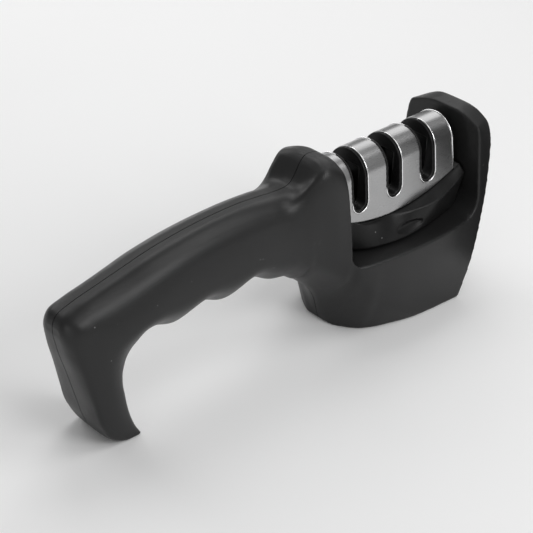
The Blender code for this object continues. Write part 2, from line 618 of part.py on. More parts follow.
def make_housing(parts, cutters, plastic):
    """Skirt, plug and arch core in one moulding, with slots, chambers and scoops."""
    housing = object_from_bmesh("cartridge_housing", skirt_shape(), parts, plastic)
    core = arch_solid(SHEET + GAP, COVER_REAR_X + 0.4, COVER_FRONT_X - 0.5)
    plug = block((PLUG_REAR_X, PLUG_FRONT_X), (-PLUG_HALF_Y, PLUG_HALF_Y),
                 (CARTRIDGE_PLATE_Z[1] + GAP, SKIRT_LOW_Z + 6.0))
    boolean(housing, object_from_bmesh("core", core, cutters), 'UNION')
    boolean(housing, object_from_bmesh("plug", plug, cutters), 'UNION')
    for number, x in enumerate(SLOT_XS, 1):
        boolean(housing, lips(number, x, cutters), 'UNION')
        slot = prism_y(slot_profile(x, SLOT_HALF), -30.0, 30.0)
        boolean(housing, object_from_bmesh(f"slot_{number}", slot, cutters))
        half = CHAMBER_HALF_X[x]
        chamber = block((x - half, x + half), (-CHAMBER_HALF_Y, CHAMBER_HALF_Y), (10.0, CHAMBER_TOP_Z))
        boolean(housing, object_from_bmesh(f"chamber_{number}", chamber, cutters))
    for side in (-1, 1):
        scoop = scoop_shape(side)
        boolean(housing, object_from_bmesh(f"scoop_{side}", scoop, cutters))
        reach = SPRING_HALF_X + 0.6
        pocket = block((SPRING_X - reach, SPRING_X + reach),
                       sorted((side * (PLUG_HALF_Y - 1.3), side * 12.0)), (25.6, 35.0))
        boolean(housing, object_from_bmesh(f"spring_pocket_{side}", pocket, cutters))
    for number, (x, y) in enumerate(cartridge_screw_places(), 1):
        pilot = rod((x, y, 20.0), (x, y, 34.0), 1.1 + GAP, 10)
        boolean(housing, object_from_bmesh(f"cartridge_pilot_{number}", pilot, cutters))


def scoop_shape(side):
    """Lens-shaped finger scoop in the skirt's side."""
    lens = bmesh.new()
    bmesh.ops.create_uvsphere(lens, u_segments=16, v_segments=8, radius=1.0)
    bmesh.ops.scale(lens, vec=SCOOP_SIZE, verts=lens.verts)
    bmesh.ops.rotate(lens, matrix=Matrix.Rotation(side * SCOOP_TILT, 3, 'X'), verts=lens.verts)
    foot, ridge = half_width_on(SKIRT_PLAN, SCOOP_X), half_width_on(SKIRT_RIDGE, SCOOP_X)
    share = (SCOOP_Z - SKIRT_LOW_Z) / (skirt_ridge_z(SCOOP_X) - SKIRT_LOW_Z)
    at = (SCOOP_X, side * (foot + (ridge - foot) * share + 0.35), SCOOP_Z)
    bmesh.ops.translate(lens, vec=at, verts=lens.verts)
    return lens


def cartridge_screw_places():
    x, y = CARTRIDGE_SCREW_XY
    return [(sx * x, sy * y) for sx in (-1, 1) for sy in (1, -1)]


def make_cover(parts, cutters, steel):
    """Stainless cover with its three openings."""
    cover = object_from_bmesh("cartridge_cover", cover_shape(), parts, steel)
    for number, x in enumerate(SLOT_XS, 1):
        opening = prism_y(slot_profile(x, SLOT_COVER_HALF), -30.0, 30.0)
        boolean(cover, object_from_bmesh(f"cover_opening_{number}", opening, cutters))


def make_cartridge_base(parts, cutters, plastic, steel):
    """Plate under the chambers and its four screws."""
    plate = block((PLUG_REAR_X, PLUG_FRONT_X), (-PLUG_HALF_Y, PLUG_HALF_Y), CARTRIDGE_PLATE_Z)
    plate = object_from_bmesh("cartridge_base", plate, parts, plastic)
    for number, (x, y) in enumerate(cartridge_screw_places(), 1):
        at = (x, y, CARTRIDGE_PLATE_Z[0] + 0.1)
        hole = countersunk_screw(*CARTRIDGE_SCREW, GAP)
        hole = object_from_bmesh(f"cartridge_hole_{number}", hole, cutters)
        boolean(plate, place_up(hole, *at))
        screw = countersunk_screw(*CARTRIDGE_SCREW)
        place_up(object_from_bmesh(f"cartridge_screw_{number}", screw, parts, steel), *at)


def rod_ends(stage_x, side):
    """Axis of one leaning rod; the two rods of a stage cross in front of each other."""
    ends = []
    for z in (ROD_LOW_Z, ROD_HIGH_Z):
        x = stage_x + side * (z - ROD_CROSS_Z) * math.tan(ROD_LEAN)
        ends.append((x, side * ROD_Y, z))
    return ends


def blade_shape(side, low_z, high_z, width, thickness):
    """One leaning carbide blade of the middle stage."""
    slope = math.tan(BLADE_LEAN) * side
    half = width / 2.0 / math.cos(BLADE_LEAN)
    profile = []
    for z, edge in ((low_z, -half), (low_z, half), (high_z, half), (high_z, -half)):
        profile.append(((z - BLADE_CROSS_Z) * slope + edge, z))
    y = side * BLADE_Y
    return prism_y(profile, y - thickness / 2.0, y + thickness / 2.0)


def make_rod_stage(name, stage_x, radius, parts, cutters, plastic, rod_material):
    """Holder block with two leaning rods in it."""
    half = CHAMBER_HALF_X[stage_x] - 0.4
    block_shape = block((stage_x - half, stage_x + half), (-CHAMBER_HALF_Y + 0.4, CHAMBER_HALF_Y - 0.4),
                        (CARTRIDGE_PLATE_Z[1] + GAP, HOLDER_TOP_Z))
    holder = object_from_bmesh(f"{name}_holder", block_shape, parts, plastic)
    for number, side in enumerate((-1, 1), 1):
        low, high = (Vector(end) for end in rod_ends(stage_x, side))
        object_from_bmesh(f"{name}_rod_{number}", rod(low, high, radius), parts, rod_material)
        socket = rod(low - (high - low).normalized() * GAP, high, radius + GAP)
        boolean(holder, object_from_bmesh(f"{name}_socket_{number}", socket, cutters))


def make_blade_stage(parts, cutters, plastic, carbide, steel):
    """Holder block with two crossed carbide blades, each held by a screw."""
    half = CHAMBER_HALF_X[0.0] - 0.4
    half_y = CHAMBER_HALF_Y - 0.4
    body = block((-half, half), (-half_y, half_y), (CARTRIDGE_PLATE_Z[1] + GAP, HOLDER_TOP_Z))
    holder = object_from_bmesh("carbide_holder", body, parts, plastic)
    reach = BLADE_Y + BLADE_THICK / 2.0 + GAP
    gap_cut = block((-half - 1.0, half + 1.0), (-reach, reach), (BLADE_LOW_Z - GAP, HOLDER_TOP_Z + 1.0))
    boolean(holder, object_from_bmesh("blade_gap", gap_cut, cutters))
    for number, side in enumerate((-1, 1), 1):
        blade = blade_shape(side, BLADE_LOW_Z, BLADE_HIGH_Z, BLADE_WIDTH, BLADE_THICK)
        blade = object_from_bmesh(f"carbide_blade_{number}", blade, parts, carbide)
        x = (BLADE_SCREW_Z - BLADE_CROSS_Z) * math.tan(BLADE_LEAN) * side
        hole = object_from_bmesh(f"blade_hole_{number}", cheese_screw(*BLADE_SCREW, GAP), cutters)
        boolean(blade, hole)
        boolean(holder, hole)
        screw = object_from_bmesh(f"carbide_screw_{number}", cheese_screw(*BLADE_SCREW), parts, steel)
        for piece in (hole, screw):
            piece.rotation_euler = (side * math.pi / 2.0, 0.0, 0.0)
            place_up(piece, x, side * 5.8, BLADE_SCREW_Z)


def make_detent_springs(parts, steel):
    """Bowed spring strips that grip the sides of the well."""
    for name, side in (("detent_spring_left", 1), ("detent_spring_right", -1)):
        outer, inner = [], []
        for step in range(9):
            z = 26.0 + 8.4 * step / 8
            bow = 8.05 + 0.75 * math.sin(math.pi * step / 8)
            outer.append((side * (bow + 0.3), z))
            inner.append((side * bow, z))
        strip = prism_x(outer + inner[::-1], SPRING_X - SPRING_HALF_X, SPRING_X + SPRING_HALF_X)
        object_from_bmesh(name, strip, parts, steel)


def main():
    clear_scene()
    parts = new_collection("knife_sharpener")
    cutters = new_collection("cutters")
    black = new_material("black_plastic", (0.030, 0.030, 0.032), 0.5)
    liner = new_material("liner_plastic", (0.022, 0.022, 0.024), 0.55)
    rubber = new_material("foot_rubber", (0.02, 0.02, 0.02), 0.85)
    stainless = new_material("stainless_sheet", (0.55, 0.55, 0.56), 0.32, 1.0)
    steel = new_material("screw_steel", (0.45, 0.45, 0.46), 0.35, 1.0)
    diamond = new_material("diamond_coat", (0.16, 0.16, 0.17), 0.7, 0.6)
    carbide = new_material("tungsten_carbide", (0.33, 0.33, 0.34), 0.3, 1.0)
    ceramic = new_material("white_ceramic", (0.86, 0.85, 0.82), 0.45)

    make_body(parts, cutters, black)
    make_base(parts, cutters, black, rubber, steel)
    make_cover(parts, cutters, stainless)
    make_housing(parts, cutters, liner)
    make_cartridge_base(parts, cutters, liner, steel)
    make_rod_stage("diamond", SLOT_XS[0], DIAMOND_RADIUS, parts, cutters, liner, diamond)
    make_blade_stage(parts, cutters, liner, carbide, steel)
    make_rod_stage("ceramic", SLOT_XS[2], CERAMIC_RADIUS, parts, cutters, liner, ceramic)
    make_detent_springs(parts, steel)


main()
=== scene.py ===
"""Looks of the hand-held knife sharpener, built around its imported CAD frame.

The body shells, the stainless cover, the housing, the screws, the rods and the
foot pad are made again as fine meshes, on the CAD's own sections and places.
The other CAD nodes keep their shape and get a material and softened edges.
Shapes are written in millimetres and scaled to metres when a mesh is made.
"""

import json
import math

import bmesh
import bpy
import numpy as np
from mathutils import Matrix, Vector, noise


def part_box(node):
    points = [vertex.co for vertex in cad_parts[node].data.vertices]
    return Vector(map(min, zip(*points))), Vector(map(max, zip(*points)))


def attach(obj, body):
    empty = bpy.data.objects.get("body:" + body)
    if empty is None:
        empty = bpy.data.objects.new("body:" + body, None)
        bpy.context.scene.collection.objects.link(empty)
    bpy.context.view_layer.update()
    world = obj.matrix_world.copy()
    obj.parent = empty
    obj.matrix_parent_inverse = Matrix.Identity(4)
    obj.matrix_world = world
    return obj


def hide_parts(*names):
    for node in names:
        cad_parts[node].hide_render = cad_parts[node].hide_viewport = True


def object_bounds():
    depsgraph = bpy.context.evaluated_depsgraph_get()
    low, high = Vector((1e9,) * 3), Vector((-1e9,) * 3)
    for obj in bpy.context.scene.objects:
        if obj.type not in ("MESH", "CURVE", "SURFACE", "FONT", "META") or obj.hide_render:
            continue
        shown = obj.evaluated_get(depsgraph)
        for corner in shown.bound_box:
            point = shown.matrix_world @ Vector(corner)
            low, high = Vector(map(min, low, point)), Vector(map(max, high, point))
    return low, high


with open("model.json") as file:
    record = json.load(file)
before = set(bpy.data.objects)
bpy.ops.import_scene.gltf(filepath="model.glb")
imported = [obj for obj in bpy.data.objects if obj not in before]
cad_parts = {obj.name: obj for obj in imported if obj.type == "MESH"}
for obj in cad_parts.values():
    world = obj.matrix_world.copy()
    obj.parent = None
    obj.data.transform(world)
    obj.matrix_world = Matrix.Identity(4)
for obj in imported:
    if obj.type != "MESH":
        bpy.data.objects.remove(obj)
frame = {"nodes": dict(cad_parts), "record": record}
CAD_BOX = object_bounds()
MM = 0.001


def node_range(node, axis):
    """Lowest and highest coordinate of a CAD node along one axis, in millimetres."""
    low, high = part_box(node)
    return low[axis] / MM, high[axis] / MM


X_AXIS, Y_AXIS, Z_AXIS = range(3)

# Places taken from the frame
COVER_REAR_X, COVER_FRONT_X = node_range("cartridge_cover", X_AXIS)
RIDGE_Z = node_range("cartridge_cover", Z_AXIS)[1]
ARCH_FOOT_HALF = node_range("cartridge_cover", Y_AXIS)[1]
PLUG_REAR_X, PLUG_FRONT_X = node_range("cartridge_base", X_AXIS)
PLUG_HALF_Y = node_range("cartridge_base", Y_AXIS)[1]
PLATE_HIGH_Z = node_range("base_plate", Z_AXIS)[1]
SHELL_FOOT_Z = node_range("body_shell_left", Z_AXIS)[0]
SEAM_HALF = node_range("body_shell_left", Y_AXIS)[0]
SKIRT_FRONT_X = node_range("cartridge_housing", X_AXIS)[1]
HOUSING_LOW_Z = node_range("cartridge_housing", Z_AXIS)[0]

# The seam is tighter over the nose than along the handle
NOSE_SEAM_X, NOSE_SEAM_HALF = 38.0, 0.02

# Fits shared with the frame
GAP = 0.3
WALL = 2.5

# Reach of the cutters past the body, across it and along it
ACROSS = 60.0
PAST_REAR_X, PAST_FRONT_X, PAST_Y = -200.0, 80.0, 80.0
PAST_LOW_Z, PAST_TOP_Z = -30.0, 120.0

# Finger ridges under the handle
RIDGE_DEPTH = 2.0
RIDGE_PITCH = 25.5
RIDGE_PEAK_X = -112.0
RIDGE_START_X, RIDGE_END_X = -132.0, -50.0
RIDGE_FADE = 8.0
BELLY_SHARE = 0.35

# Bay and well
BAY_REAR_X, BAY_FRONT_X = -31.5, 40.8
BAY_FLOOR_Z = 35.0
BAY_REAR_RADIUS, BAY_FRONT_RADIUS = 4.5, 9.0
BAY_TOP_Z = 110.0
PLUG_GAP = 0.4
COLLAR_WALL = 1.5
COLLAR_LOW_Z = 27.0
WELL_Z = (COLLAR_LOW_Z - 5.0, BAY_FLOOR_Z + 12.0)

# Front face of the nose: profile in X and Z, and its bow across Y
FRONT_PROFILE = [
    (30.6, 0.0), (39.0, 16.0), (44.4, 31.0), (47.8, 43.0), (49.6, 57.0), (50.2, 68.0),
    (50.1, 74.0), (49.5, 76.7), (48.3, 78.4), (46.4, 79.2),
]
FRONT_TOP = (38.0, 81.0)
FRONT_BOW = 1.5
FRONT_BOW_AT_Y = 24.0
FRONT_HALF_Y, FRONT_SLICES = 45.0, 61
FRONT_PAST_X, FRONT_PAST_Z = 70.0, (-6.0, 95.0)

# Screw posts and pegs inside the body
POST_XY = ((-10.0, 14.8), (22.0, 14.8))
POST_RADIUS = 2.9
PILOT_RADIUS, PILOT_Z = 1.35, (1.0, 14.0)
PEG_XZ = ((-145.0, 46.0), (-100.0, 55.0), (-62.0, 54.0))
PEG_RADIUS, PEG_BOSS_RADIUS, PEG_REACH = 1.5, 3.2, 4.5
PEG_ROOT_Y, SOCKET_ROOT_Y = -2.5, -2.0
PEG_BOSS_HALF_Y = 30.0

# Cartridge
SLOT_PITCH = 20.0
SLOT_XS = (-SLOT_PITCH, 0.0, SLOT_PITCH)
SLOT_COVER_HALF, SLOT_LIP_HALF, SLOT_HALF = 4.6, 4.3, 3.2
SLOT_ROUND_Z, SLOT_OPEN_Z = 57.5, 90.0
SLOT_ACROSS = 30.0
LIP_INSET = 0.15
SHEET = 0.7
RIM_RADIUS = 0.33
RIM_CENTRE_Z = 55.0
ARCH_RADIUS = 10.4
COVER_EDGE_Z, COVER_EDGE_RISE, COVER_EDGE_AT_X = 46.3, 7.4, 35.0
SKIRT_LOW_Z = 36.2
SKIRT_PLAN = [
    (-28.6, 6.0), (-26.5, 9.0), (-22.0, 12.4), (-17.5, 15.1), (-9.0, 17.6), (0.5, 18.9),
    (12.0, 18.4), (26.5, 15.8), (32.0, 14.7), (36.0, 13.9), (38.3, 13.3), (39.4, 12.4),
]
SKIRT_RIDGE = [
    (-28.6, 6.5), (-26.5, 9.5), (-22.0, 12.7), (-2.0, 13.2), (8.5, 16.7), (19.0, 19.0),
    (28.3, 18.1), (34.6, 17.0), (39.4, 15.6),
]
RIDGE_FROM_X = -2.0
RIDGE_LOW_Z, RIDGE_RISE = 45.5, 6.8
SKIRT_CLEARANCE = 1.2
CHAMBER_HALF_Y = 6.3
CHAMBER_HALF_X = {-SLOT_PITCH: 6.4, 0.0: 8.2, SLOT_PITCH: 6.4}
CHAMBER_TOP_Z = 70.0
CARTRIDGE_SCREW_XY = (10.9, 6.2)
SCOOP_X, SCOOP_Z = 3.4, 39.8
SCOOP_SIZE = (8.7, 1.4, 2.3)
SCOOP_TILT = math.radians(30.0)
CARTRIDGE_PILOT_RADIUS, CARTRIDGE_PILOT_Z = 1.4, (20.0, 34.0)
SPRING_X, SPRING_HALF_X = -0.8, 4.0
SPRING_ROOM_X, SPRING_ROOM_DEPTH, SPRING_ROOM_Z = 0.6, 1.3, (25.6, 35.0)
SPRING_ROOM_OUT_Y = 12.0

# Rods: crossing height, lean from vertical, place across Y, and how far their ends are rounded
ROD_CROSS_Z, ROD_LEAN, ROD_Y = 51.0, math.radians(20.0), 2.3
ROD_LOW_Z, ROD_HIGH_Z = 38.8, 62.5
ROD_END_ROUND = 0.5
DIAMOND_RADIUS, CERAMIC_RADIUS = 1.5, 1.7
GRIT_SIZE, GRIT_DEPTH = 0.35, 0.06

# Screws: head radius, head height, shank radius, length, and whether the head is countersunk
BASE_SCREW = (2.6, 1.5, 1.1, 10.0, True)
CARTRIDGE_SCREW = (2.2, 1.4, 1.0, 9.0, True)
BLADE_SCREW = (1.7, 1.2, 0.9, 5.3, False)
THREAD_PITCH, THREAD_DEPTH = 0.8, 0.22
HEAD_EDGE, PAN_EDGE, COUNTERSINK_EDGE_Z = 0.1, 0.3, 0.35
SCREW_TIP = 1.0
RECESS_WIDTH = 0.55
RECESS_REACH_SHARE, RECESS_DEPTH_SHARE = 0.62, 0.55      # of the head's radius and height

# Tread under the foot pad
TREAD_PITCH, TREAD_WIDTH, TREAD_DEPTH = 4.0, 1.1, 0.45

# Fineness of the meshes
BODY_VOXEL, HOUSING_VOXEL, COVER_VOXEL = 0.55, 0.42, 0.28
ROW_STEP, CAVITY_ROW_STEP = 0.9, 3.0
CORNER_STEPS, CAVITY_CORNER_STEPS = 14, 4
RELAX_STRENGTH, RELAX_BACK = 0.5, 0.2
BODY_RELAX, CARTRIDGE_RELAX = 3, 2

EDGE_ROUND = 0.12                   # on the CAD nodes that stay in view

# Camera and stage
CAMERA_TURN, CAMERA_HEIGHT, CAMERA_ROLL = 44.0, 32.2, 2.0
CAMERA_DISTANCE = 0.575
CAMERA_LENS = 98.7
CAMERA_TARGET = Vector((-0.0594, 0.00028, 0.0377))
WORLD_LIGHT = 0.3
STAGE_CENTRE = Vector((-0.05, 0.0, 0.03))
SOFTBOX_DISTANCE = 0.9
SOFTBOX_WIDTH = 0.4
SOFTBOXES = (             # name, azimuth from the camera's right, elevation, height, power
    ("front_right", 324.0, 35.0, 0.4, 2.6),
    ("front_low", 252.0, 12.0, 0.3, 0.7),
    ("right_high", 0.0, 60.0, 0.4, 1.45),
    ("back_high", 103.0, 60.0, 0.4, 1.5),
    ("back_right", 72.0, 35.0, 0.4, 0.7),
    ("back_low", 108.0, 12.0, 0.3, 0.65),
    ("back_left", 144.0, 35.0, 0.4, 1.2),
)
CARD_X, CARD_Y, CARD_Z = 0.058, (-0.051, -0.022), (0.002, 0.12)   # dark card beside the nose


# ---------------------------------------------------------------------------
# Body sections: the rows of the CAD, joined by a smooth curve

EVEN_SOFT = 0.45
USUAL_SOFT = (EVEN_SOFT, EVEN_SOFT, 0.4)     # rounding of the foot, the belly and the shoulder


def slanted(low, top, foot, belly, side, shoulder, crown, soft=USUAL_SOFT):
    """Row across the hook: corners are (half width, distance from the low rail)."""
    length = math.dist(low, top)
    return np.array([*low, *top, *foot, *belly, *side, *shoulder, crown, length,
                     soft[0], soft[1], EVEN_SOFT, soft[2], EVEN_SOFT])


def upright(x, low_z, top_z, foot, belly, side, shoulder, crown, soft=USUAL_SOFT):
    """Row at one X: corners are (half width, Z)."""
    points = [(w, z - low_z) for w, z in (foot, belly, side, shoulder)]
    return slanted((x, low_z), (x, top_z), *points, crown, soft)


def base_row(x, foot, belly, side, shoulder=(16.5, 73.3), top_z=77.5, crown=7.0, edge=0.12):
    """Row through the base, which has a crisp lower edge."""
    foot_at = (foot, SHELL_FOOT_Z)
    return upright(x, SHELL_FOOT_Z, top_z, foot_at, belly, side, shoulder, crown, (0.02, 0.3, edge))


HOOK_SOFT = (0.4, 0.45, 0.3)
HOOK_ROWS = [
    slanted((-132.1, 0.3), (-136.9, 0.2), (12.0, 0.4), (12.6, 1.3), (12.6, 2.6), (12.2, 3.8), 6.5, HOOK_SOFT),
    slanted((-132.3, 1.2), (-141.4, 0.3), (11.8, 0.7), (12.4, 2.6), (12.4, 5.2), (12.0, 7.9), 7.0, HOOK_SOFT),
    slanted((-133.0, 3.1), (-146.6, 2.9), (11.6, 1.0), (12.4, 4.2), (12.4, 8.4), (12.0, 12.2), 7.2,
            HOOK_SOFT),
    slanted((-134.3, 6.7), (-150.2, 9.7), (11.4, 1.2), (12.5, 5.6), (12.5, 10.8), (12.0, 15.6), 7.2,
            HOOK_SOFT),
    slanted((-135.9, 12.3), (-153.5, 21.0), (11.2, 1.4), (12.6, 7.0), (12.5, 13.0), (11.7, 18.6), 7.0,
            HOOK_SOFT),
    slanted((-136.8, 18.5), (-157.1, 33.9), (11.0, 1.7), (12.8, 8.5), (12.5, 15.3), (11.2, 23.0), 6.6),
    slanted((-137.2, 23.8), (-160.4, 45.6), (10.6, 2.1), (12.9, 10.0), (12.4, 18.3), (10.5, 28.0), 6.0),
    slanted((-136.4, 28.5), (-161.7, 55.1), (10.0, 2.3), (13.0, 11.0), (12.5, 20.0), (10.0, 31.6), 5.5),
    slanted((-134.5, 32.1), (-159.8, 58.9), (9.0, 2.2), (13.2, 11.2), (12.7, 20.0), (9.9, 31.9), 5.2),
    slanted((-131.6, 34.9), (-154.1, 61.2), (7.8, 1.9), (13.4, 10.8), (12.9, 19.2), (9.8, 29.5), 5.0),
    slanted((-127.3, 36.6), (-144.2, 63.6), (6.8, 1.5), (13.7, 10.4), (13.1, 18.3), (9.9, 26.8), 4.9),
    slanted((-122.0, 37.6), (-132.5, 66.2), (6.0, 1.2), (13.9, 10.0), (13.2, 18.0), (10.1, 26.0), 4.8),
    slanted((-117.0, 37.9), (-121.0, 68.8), (5.6, 1.0), (13.9, 9.8), (13.3, 18.2), (10.3, 26.8), 4.8),
]
HANDLE_ROWS = [
    upright(-108, 37.7, 70.8, (5.5, 38.7), (13.9, 47.5), (13.3, 56.0), (10.4, 66.4), 4.8),
    upright(-97, 37.7, 71.9, (5.5, 38.7), (13.9, 47.5), (13.3, 56.0), (10.4, 67.4), 4.8),
    upright(-86, 37.7, 72.4, (5.5, 38.7), (13.9, 47.5), (13.3, 56.0), (10.4, 67.9), 4.8),
    upright(-75, 37.7, 72.4, (5.5, 38.7), (13.9, 47.5), (13.3, 56.0), (10.5, 68.0), 4.8),
    upright(-65, 36.8, 71.6, (5.8, 37.9), (14.2, 46.0), (13.4, 56.0), (10.7, 67.6), 5.0),
    upright(-58, 35.0, 70.9, (6.2, 36.2), (14.8, 44.8), (13.8, 56.0), (10.9, 67.4), 5.2),
]
THUMB_STOP_ROWS = [
    upright(-53, 31.6, 70.8, (6.6, 32.8), (15.4, 42.6), (14.6, 55.0), (11.3, 70.4), 5.4),
    upright(-50, 29.6, 71.2, (6.6, 30.8), (15.9, 41.0), (15.2, 55.0), (11.8, 73.6), 5.6),
    upright(-48, 28.7, 72.4, (6.6, 29.9), (16.1, 41.0), (15.6, 54.5), (12.4, 76.0), 5.8),
    upright(-46, 27.1, 75.2, (6.0, 28.3), (16.6, 39.8), (16.0, 54.0), (13.1, 77.4), 6.2),
    upright(-44, 25.4, 78.8, (5.4, 26.6), (17.1, 38.5), (16.4, 53.5), (13.8, 78.4), 6.8),
    upright(-42, 23.6, 80.8, (4.9, 24.7), (17.7, 37.2), (16.9, 53.0), (14.4, 78.6), 7.2),
    upright(-38.5, 20.4, 81.4, (4.2, 21.4), (18.8, 34.6), (17.8, 52.0), (15.0, 77.8), 7.4),
    upright(-35, 16.8, 80.6, (3.7, 17.7), (20.0, 31.8), (18.4, 51.0), (15.1, 76.0), 7.2),
    upright(-33, 13.4, 79.5, (3.5, 14.2), (20.8, 30.4), (18.8, 50.0), (15.0, 74.6), 7.0),
    upright(-31.5, 9.8, 78.2, (3.4, 10.5), (21.2, 30.2), (19.4, 49.0), (14.9, 73.4), 6.8),
    upright(-29.8, 3.8, 77.4, (4.2, 4.3), (21.7, 29.0), (20.6, 46.0), (15.0, 73.0), 6.8),
]
BASE_ROWS = [
    base_row(-28.6, 6.2, (21.9, 28.0), (21.8, 42.0), edge=0.35),
    base_row(-25.6, 12.4, (22.7, 25.0), (23.2, 38.0), edge=0.3),
    base_row(-22.0, 16.8, (23.7, 20.5), (24.1, 38.0)),
    base_row(-18.0, 19.4, (24.3, 18.0), (24.8, 38.0)),
    base_row(-9.0, 22.8, (25.6, 10.5), (26.1, 38.0)),
    base_row(2.0, 25.8, (26.4, 3.0), (27.0, 38.0)),
    base_row(12.0, 27.0, (27.1, 3.0), (27.1, 38.0)),
    base_row(22.0, 27.6, (27.5, 4.0), (26.5, 37.0), (18.0, 73.3), crown=9.0),
    base_row(32.0, 28.0, (27.6, 4.0), (25.1, 37.0), (18.9, 73.2), 78.0, 9.8),
    base_row(41.0, 27.8, (27.3, 4.0), (23.9, 38.0), (19.6, 73.1), 77.6, 9.2, 0.14),
    base_row(46.0, 27.2, (26.7, 4.0), (23.1, 38.0), (20.0, 72.6), 78.6, 8.2, 0.32),
    base_row(54.0, 25.9, (25.4, 4.0), (21.6, 38.0), (19.2, 72.0), 79.1, 7.6, 0.34),
]
ROWS = np.array(HOOK_ROWS + HANDLE_ROWS + THUMB_STOP_ROWS + BASE_ROWS)
FIRST_HOLLOW_ROW = 4                # the hook's tip is solid
CRISP = 0.1                         # rows with a crisper foot than this belong to the base
OPEN_FROM_HALF_WIDTH = 10.0         # the hollow opens below where the base's foot is wider
OPENING_H = -2.0


def smooth_rows(rows, step):
    """Rows along a smooth curve through the design rows, about step apart."""
    middles = (rows[:, 0:2] + rows[:, 2:4]) / 2.0
    spans = np.linalg.norm(np.diff(middles, axis=0), axis=1)
    slopes = np.diff(rows, axis=0) / spans[:, None]
    tangents = np.empty_like(rows)
    tangents[0], tangents[-1] = slopes[0], slopes[-1]
    share = (spans[:-1] / (spans[:-1] + spans[1:]))[:, None]
    tangents[1:-1] = slopes[:-1] * (1.0 - share) + slopes[1:] * share
    dense = []
    for index, span in enumerate(spans):
        count = max(1, round(span / step))
        for t in np.arange(count) / count:
            dense.append(rows[index] * (1 + 2 * t) * (1 - t) ** 2
                         + tangents[index] * span * t * (1 - t) ** 2
                         + rows[index + 1] * t * t * (3 - 2 * t)
                         + tangents[index + 1] * span * t * t * (t - 1))
    return dense + [rows[-1]]


def finger_ridge(x):
    """How far the finger ridges raise or lower the underside of the handle."""
    rise = min((x - RIDGE_START_X) / RIDGE_FADE, (RIDGE_END_X - x) / RIDGE_FADE, 1.0)
    if rise <= 0.0:
        return 0.0
    fade = rise * rise * (3.0 - 2.0 * rise)
    return -RIDGE_DEPTH * math.cos(2.0 * math.pi * (x - RIDGE_PEAK_X) / RIDGE_PITCH) * fade


def soft_corner_points(points, soft, steps):
    """Open outline through the end points, with the corners between them rounded."""
    outline = [Vector(points[0])]
    for index in range(1, len(points) - 1):
        corner = Vector(points[index])
        start = corner.lerp(Vector(points[index - 1]), soft[index - 1])
        end = corner.lerp(Vector(points[index + 1]), soft[index - 1])
        for step in range(steps + 1):
            t = step / steps
            outline.append(start.lerp(corner, t).lerp(corner.lerp(end, t), t))
    return outline + [Vector(points[-1])]


def body_ring(row, steps, inset=0.0):
    """Closed ring of points for one body row, pulled in by inset."""
    low, top = Vector((row[0], 0.0, row[1])), Vector((row[2], 0.0, row[3]))
    corners = [Vector(row[4 + 2 * i:6 + 2 * i]) for i in range(5)]
    soft = row[14:19]
    ridge = finger_ridge(row[0])
    floor = inset + ridge
    points = [Vector((0.0, floor))]
    for corner, lift in zip(corners, (inset + ridge, ridge * BELLY_SHARE, 0.0, -inset, -inset)):
        points.append(corner + Vector((-inset, lift)))
    if inset and soft[0] < CRISP and corners[0].x > OPEN_FROM_HALF_WIDTH:
        points[0].y = points[1].y = OPENING_H
    points.append(Vector((0.0, (top - low).length - inset)))
    outline = soft_corner_points(points, soft, steps)
    up = (top - low).normalized()
    across = Vector((0.0, 1.0, 0.0))
    right = [low + up * p.y + across * p.x for p in outline]
    left = [low + up * p.y - across * p.x for p in reversed(outline[1:-1])]
    return right + left


# ---------------------------------------------------------------------------
# Mesh tools

def mesh_object(name, shape, scale=MM):
    """Object from a bmesh, in millimetres unless the scale says otherwise, with normals outward."""
    bmesh.ops.recalc_face_normals(shape, faces=shape.faces)
    bmesh.ops.triangulate(shape, faces=shape.faces)
    bmesh.ops.scale(shape, vec=(scale,) * 3, verts=shape.verts)
    mesh = bpy.data.meshes.new(name)
    shape.to_mesh(mesh)
    shape.free()
    made = bpy.data.objects.new(name, mesh)
    bpy.context.scene.collection.objects.link(made)
    return made


def loft(rings):
    """Skin between equal rings, with the first and last ring closed."""
    skin = bmesh.new()
    loops = [[skin.verts.new(point) for point in ring] for ring in rings]
    count = len(loops[0])
    for a, b in zip(loops, loops[1:]):
        for i in range(count):
            j = (i + 1) % count
            skin.faces.new((a[i], a[j], b[j], b[i]))
    skin.faces.new(list(reversed(loops[0])))
    skin.faces.new(loops[-1])
    return skin


def prism(profile, axis, low, high):
    """A flat outline extruded along one axis; the outline's pairs keep the other axes' order."""
    rings = []
    for level in (low, high):
        ring = []
        for u, v in profile:
            point = [u, v]
            point.insert(axis, level)
            ring.append(Vector(point))
        rings.append(ring)
    return loft(rings)


def block(x_range, y_range, z_range):
    """Box between pairs of limits."""
    (x0, x1), (y0, y1) = x_range, y_range
    return prism([(x0, y0), (x1, y0), (x1, y1), (x0, y1)], Z_AXIS, *z_range)


def rod(start, end, radius, segments=32):
    """Round bar between two points."""
    start, end = Vector(start), Vector(end)
    axis = end - start
    bar = bmesh.new()
    turn = Vector((0.0, 0.0, 1.0)).rotation_difference(axis).to_matrix().to_4x4()
    bmesh.ops.create_cone(bar, cap_ends=True, segments=segments, radius1=radius, radius2=radius,
                          depth=axis.length, matrix=Matrix.Translation((start + end) / 2.0) @ turn)
    return bar


def arc(centre, radius, start_degrees, end_degrees, steps):
    """Points along a circle's arc."""
    angles = np.radians(np.linspace(start_degrees, end_degrees, steps + 1))
    return [(centre[0] + radius * math.cos(a), centre[1] + radius * math.sin(a)) for a in angles]


